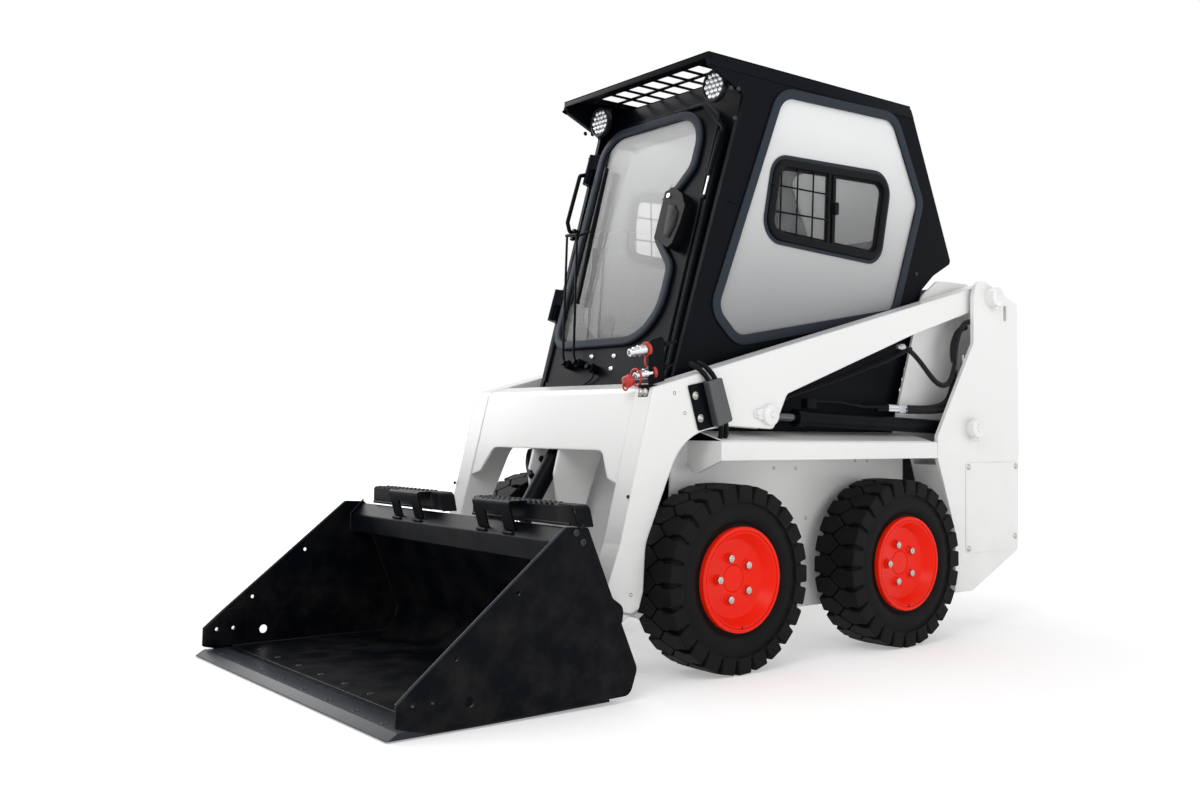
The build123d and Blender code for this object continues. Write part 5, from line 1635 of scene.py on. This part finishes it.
# %% [markdown]
# A hose ends in a crimped sleeve with a hexagon behind it. A tube with few sides makes the
# hexagon. On the barrel, steel lines lead the oil on to its other end, bent at even corners.
# %% Fittings and barrel lines
def couple_hoses(hand, tag):
    """Couplings where the hoses meet on the chassis, and where they reach the barrel."""
    fittings = [tube(at((x, y, 1040), (x, y, 1008)), 8.5) for x, y in ((468, 827), (480, 864))]
    fittings += [tube(at((x, y, 1008), (x, y, 978)), 12, sides=1)
                 for x, y in ((468, 827), (480, 863))]
    dressed(handed(joined(*fittings), hand), f"hose_couplings_{tag}", "chassis",
            "rod_chrome", "silver")
    barrel_ends = [tube(at((464, 440, z + 2), (464, 500, z + 1)), 8) for z in (834, 822)]
    barrel_ends += [tube(at((464, 498, z + 1), (464, 540, z)), 11, sides=1)
                    for z in (834, 822)]
    dressed(handed(joined(*barrel_ends), hand), f"barrel_couplings_{tag}",
            f"lift_barrel_{tag}", "rod_chrome", "silver")


def pipe_barrel(hand, tag):
    """Steel lines on the barrel with the block they end in."""
    barrel_line = [tube(bent(at((464, 30, 822), (464, 30, 846), (464, 180, 846),
                                (464, 300, 832), (464, 445, 833)), 10), 7),
                   tube(at((464, 380, 822), (464, 445, 823)), 6)]
    head_block = block(30, 838, 44, 34, 30, side(0.449), turn=4, bevel=2)
    dressed(handed(joined(*barrel_line, head_block), hand), f"barrel_line_{tag}",
            f"lift_barrel_{tag}", "black_paint")


for hand, tag in ((1, "left"), (-1, "right")):
    hang_hoses(hand, tag)
    couple_hoses(hand, tag)
    pipe_barrel(hand, tag)
    arm_fitting = joined(tube(at((468, 488, 1052), (468, 530, 1052)), 8.5),
                         tube(at((468, 500, 1053), (468, 524, 1054)), 12, sides=1))
    dressed(handed(arm_fitting, hand), f"arm_hose_fitting_{tag}", "lift_arm", "rod_chrome",
            "silver")
print("hoses", [name for name in made if name.startswith("hose_") and "left" in name])

# %% [markdown]
# Two hoses drop to the bucket cylinder behind the cross member. They ride with the arms.
# %% Tilt hoses
tilt_routes = [
    [(-52, -742, 588), (-96, -730, 610), (-150, -690, 655), (-215, -640, 676),
     (-268, -590, 640), (-282, -560, 580)],
    [(-52, -700, 640), (-90, -690, 648), (-135, -650, 690), (-190, -610, 706),
     (-240, -570, 690), (-262, -545, 620)],
]
tilt_hoses = [tube(at(*route), 10, True) for route in tilt_routes]
dressed(joined(*tilt_hoses), "tilt_hoses", "lift_arm", "rubber", "hose_cover")
print("pieces of the arms", len(made) - made.index("lift_pin_keeper_left"))

# %% [markdown]
# The towers carry the arm pivots and the cylinder feet. Each pin has a stepped head with an
# ear, and a screw through the ear keeps it from turning. The head is turned, the ear is a
# block, and both stand a little into the tower's plate, as if welded.
# %% Tower pin heads
tower_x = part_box("tower_left")[1].x / mm
pin_head = [(0, 30), (4, 30), (5, 28), (14, 28), (16, 26), (16, 24), (30, 22), (35, 18),
            (36, 14), (36, -1), (0, -1)]
pin_screw = [(0, 8), (6, 8), (7, 6), (7, -1), (0, -1)]
heads = [turned(pin_head, side(tower_x * mm - 0.004) @ Matrix.Translation((y * mm, z * mm, 0)),
                48) for y, z in ((968, 1265), (840, 761))]
ears = [block(y, z, 30, 22, 10, side(tower_x * mm - 0.001), turn=9, bevel=2)
        for y, z in ((980, 1222), (838, 722))]
screws = [turned(pin_screw,
                 side(tower_x * mm + 0.009) @ Matrix.Translation((y * mm, z * mm, 0)), 6)
          for y, z in ((983, 1219), (838, 719))]
pair(joined(*heads, *ears, *screws), "tower_pin_heads", "chassis", "white_paint")
print("pin heads", made[-2:])

# %% [markdown]
# Four dome bolts hold the cover of the drive side. The tub beside the tyres has small drilled
# holes, and a sloping strip closes the gap between sill and tub.
# %% Cover bolts and tub
cover_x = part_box("tower_covers")[1].x / mm
tub_x = 370
cover_spots = [(cover_x, 822, 616), (cover_x, 1124, 616), (cover_x, 822, 312),
               (cover_x, 1118, 346)]
pair(scattered(dome, faced(cover_spots, (1, 0, 0))), "cover_bolts", "chassis", "rod_chrome",
     "zinc")
# Each tub hole is the same dark dish, its black painted shade of the hole's inside.
tub_spots = [(tub_x, y, z)
             for y, z in ((-41, 618), (65, 616), (372, 640), (437, 639), (115, 444))]
pair(scattered(hole, faced(tub_spots, (1, 0, 0))), "tub_holes", "chassis", "black_paint",
     "black_bolt")
slope_rows = [(527, 712, 1), (410, 743, 1), (410, 739, 1), (520, 710, 1)]
slope = plate([rounded(slope_rows, 2)], 1030, front(0.610), bevel=0.8)
pair(slope, "sill_slope", "chassis", "white_paint")
print("cover bolts", len(cover_spots), "tub holes", len(tub_spots))

# %% [markdown]
# The seat is two foam pads in vinyl. Foam pushes its cover out between the edges. Sculpting
# that by hand is slow, so each pad is a rounded block blown up by a short cloth simulation.
# The block gets an even mesh first, and no point may move further than a cap, which keeps the
# pad inside the seat's own size.
# %% Padding
pad_frames = 20


def simulated(mesh):
    """Mesh blown up by pressure for a few frames."""
    pad = bpy.data.objects.new("pad", mesh)
    scene.collection.objects.link(pad)
    cloth = pad.modifiers.new("foam", "CLOTH")
    cloth.settings.use_pressure = True
    cloth.settings.uniform_pressure_force = 4.0
    cloth.settings.effector_weights.gravity = 0.0
    cloth.point_cache.frame_start = 1
    cloth.point_cache.frame_end = pad_frames
    for frame_number in range(1, pad_frames + 1):
        scene.frame_set(frame_number)
    seen = pad.evaluated_get(bpy.context.evaluated_depsgraph_get())
    blown = bpy.data.meshes.new_from_object(seen)
    scene.frame_set(1)
    bpy.data.objects.remove(pad)
    return blown


def cushion(rows, width, place, cap=9):
    """Padded block: rows of its side view, swollen by pressure and capped in millimetres."""
    core = plate([rounded(rows, 6)], width, place, bevel=12, rounds=3)
    pad = bpy.data.objects.new("pad", core)
    scene.collection.objects.link(pad)
    remesh = pad.modifiers.new("even_mesh", "REMESH")
    remesh.mode = "VOXEL"
    remesh.voxel_size = 0.006
    even = plain_mesh(pad)
    rest = [vertex.co.copy() for vertex in even.vertices]
    blown = simulated(even)
    for vertex, start in zip(blown.vertices, rest):
        move = vertex.co - start
        vertex.co = start + move * min(1, cap * mm / max(move.length, 1e-6))
    smooth = bpy.data.objects.new("smooth", blown)
    scene.collection.objects.link(smooth)
    smooth.modifiers.new("rounder", "SUBSURF").levels = 1
    return plain_mesh(smooth)


print("foam takes", pad_frames, "frames")

# %% [markdown]
# Cushion and back have the same width, a little less than the seat's, and each is drawn in
# side view.
# %% Seat pads
seat_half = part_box("seat")[1].x / mm
pad_inset = 12
seat_width = 2 * seat_half - 2 * pad_inset
seat_side = side(-(seat_half - pad_inset) * mm)
base_rows = [(34, 856, 16), (440, 846, 20), (452, 906, 20), (40, 926, 34)]
back_rows = [(424, 950, 24), (492, 944, 24), (574, 1388, 34), (512, 1400, 30)]
base_pad = dressed(cushion(base_rows, seat_width, seat_side), "seat_cushion", "chassis",
                   "seat_vinyl", sharp=60)
back_pad = dressed(cushion(back_rows, seat_width, seat_side), "seat_back", "chassis",
                   "seat_vinyl", sharp=60)
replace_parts(base_pad, "seat")
print("seat pads", base_pad.name, back_pad.name)

# %% [markdown]
# A moulded pan carries the pads from below and behind, and two lines of piping run along the
# cushion.
# %% Seat pan and piping
pan_inset = pad_inset + 15
pan_rows = [(26, 814, 10), (470, 814, 30), (508, 860, 20), (586, 1330, 12), (578, 1334, 3),
            (498, 866, 20), (462, 838, 30), (26, 842, 6)]
dressed(plate([rounded(pan_rows, 4)], 2 * seat_half - 2 * pan_inset,
              side(-(seat_half - pan_inset) * mm), bevel=3),
        "seat_pan", "chassis", "black_plastic")
piping_rows = ((60, 934), (180, 926), (300, 920), (420, 914))
seams = [tube(at(*[(hand * 120, y, z) for y, z in piping_rows]), 1.6) for hand in (-1, 1)]
dressed(joined(*seams), "seat_piping", "chassis", "black_plastic")
print("seat", made[-4:])

# %% [markdown]
# At the back the engine breathes through louvres. Each slot in the door gets a slanted blade
# behind it and a pressed rim round it. The door's slots are even, so one blade and one rim are
# drawn and the rows tree sets eleven of each.
# %% Louvres
door_back = 1140
louvres = {"Across": 1, "Up": 11, "Step across": 0.0, "Step up": 0.044}
louvre_middle = 0.800


def rear(y):
    """Rear view: rows are (x to the machine's right, z), depth runs backwards."""
    return axes((0, datum_y + y, 0), (-1, 0, 0), (0, 0, 1))


back_face = rear(door_back * mm)
blade = plate([rounded([(-300, -2, 1), (300, -2, 1), (300, 2, 1), (-300, 2, 1)], 2)], 26,
              Matrix.Rotation(math.radians(-38), 4, "X"), bevel=0.6)
blades = repeated(in_rows, blade, louvres,
                  rear(1.112) @ Matrix.Translation((0, louvre_middle, 0)))
dressed(blades, "louvre_blades", "rear_door", "black_plastic")
slot_line = rounded([(-280, -11, 10.9), (280, -11, 10.9), (280, 11, 10.9), (-280, 11, 10.9)], 5)
slot_rim = plate([widened(slot_line, 5), slot_line], 4, AT_ORIGIN, bevel=1.4)
rims = repeated(in_rows, slot_rim, louvres,
                back_face @ Matrix.Translation((0, louvre_middle, -0.001)))
dressed(rims, "louvre_rims", "rear_door", "white_paint")
print("louvres", louvres["Up"])

# %% [markdown]
# The door has a paddle latch in a round dish, two tail lamps and a row of bolts at each side.
# Dish and lenses are round, so one is a ring plate and the others are turned. The bolts face
# backwards, set by the points tree.
# %% Rear latch, tail lamps and bolts
latch_dish = plate([circle(0, 0, 40, 40), circle(0, 0, 30, 40)], 5,
                   back_face @ Matrix.Translation((-0.33, 0.80, -0.001)), bevel=2)
latch_bar = block(-330, 800, 14, 54, 6, back_face, turn=6, bevel=2)
dressed(joined(latch_dish, latch_bar), "rear_latch", "rear_door", "black_plastic")
lens_row = [(0, 6.4), (20, 6.2), (34, 4.6), (38, 2), (38, -2), (0, -2)]
bezel_row = [(38, -2), (38, 5), (40, 6.6), (44, 6.6), (47, 3), (47, -2)]
lamp_spots = [back_face @ Matrix.Translation((hand * 0.30, 1.10, 0)) for hand in (-1, 1)]
dressed(joined(*[turned(lens_row, spot, 48) for spot in lamp_spots]), "tail_lenses",
        "rear_door", "black_plastic", "red_plastic")
dressed(joined(*[turned(bezel_row, spot, 48) for spot in lamp_spots]), "tail_bezels",
        "rear_door", "lamp_housing")
flat_bolt = turned([(0, 4), (5, 3.8), (7, 2.4), (7.5, 0), (0, -1)], AT_ORIGIN, 16)
door_spots = [(x, door_back, z) for x in (-355, 355) for z in (470, 640, 960, 1140)]
dressed(scattered(flat_bolt, faced(door_spots, (0, 1, 0))), "rear_door_bolts", "rear_door",
        "rod_chrome", "zinc")
print("rear door", made[-4:])

# %% [markdown]
# Control levers have ribbed rubber boots where they leave the floor. A boot narrows upwards,
# and every other ring of its profile stands out, which makes the ribs.
# %% Lever boots
boot_foot, boot_radius, boot_rings = 804, 30, 12
boot_rows = [(boot_radius - 1.6 * k + (4 if k % 2 else 0), boot_foot + 9 * k)
             for k in range(boot_rings)]
boot_profile = [(0, boot_rows[0][1])] + boot_rows + [(0, boot_rows[-1][1])]
boots = [turned(boot_profile, axes((hand * 0.235, datum_y - 0.250, 0), (1, 0, 0), (0, 1, 0)),
                32) for hand in (-1, 1)]
dressed(joined(*boots), "lever_boots", "chassis", "rubber")
print("boots", len(boots))

print("pieces", len(made))
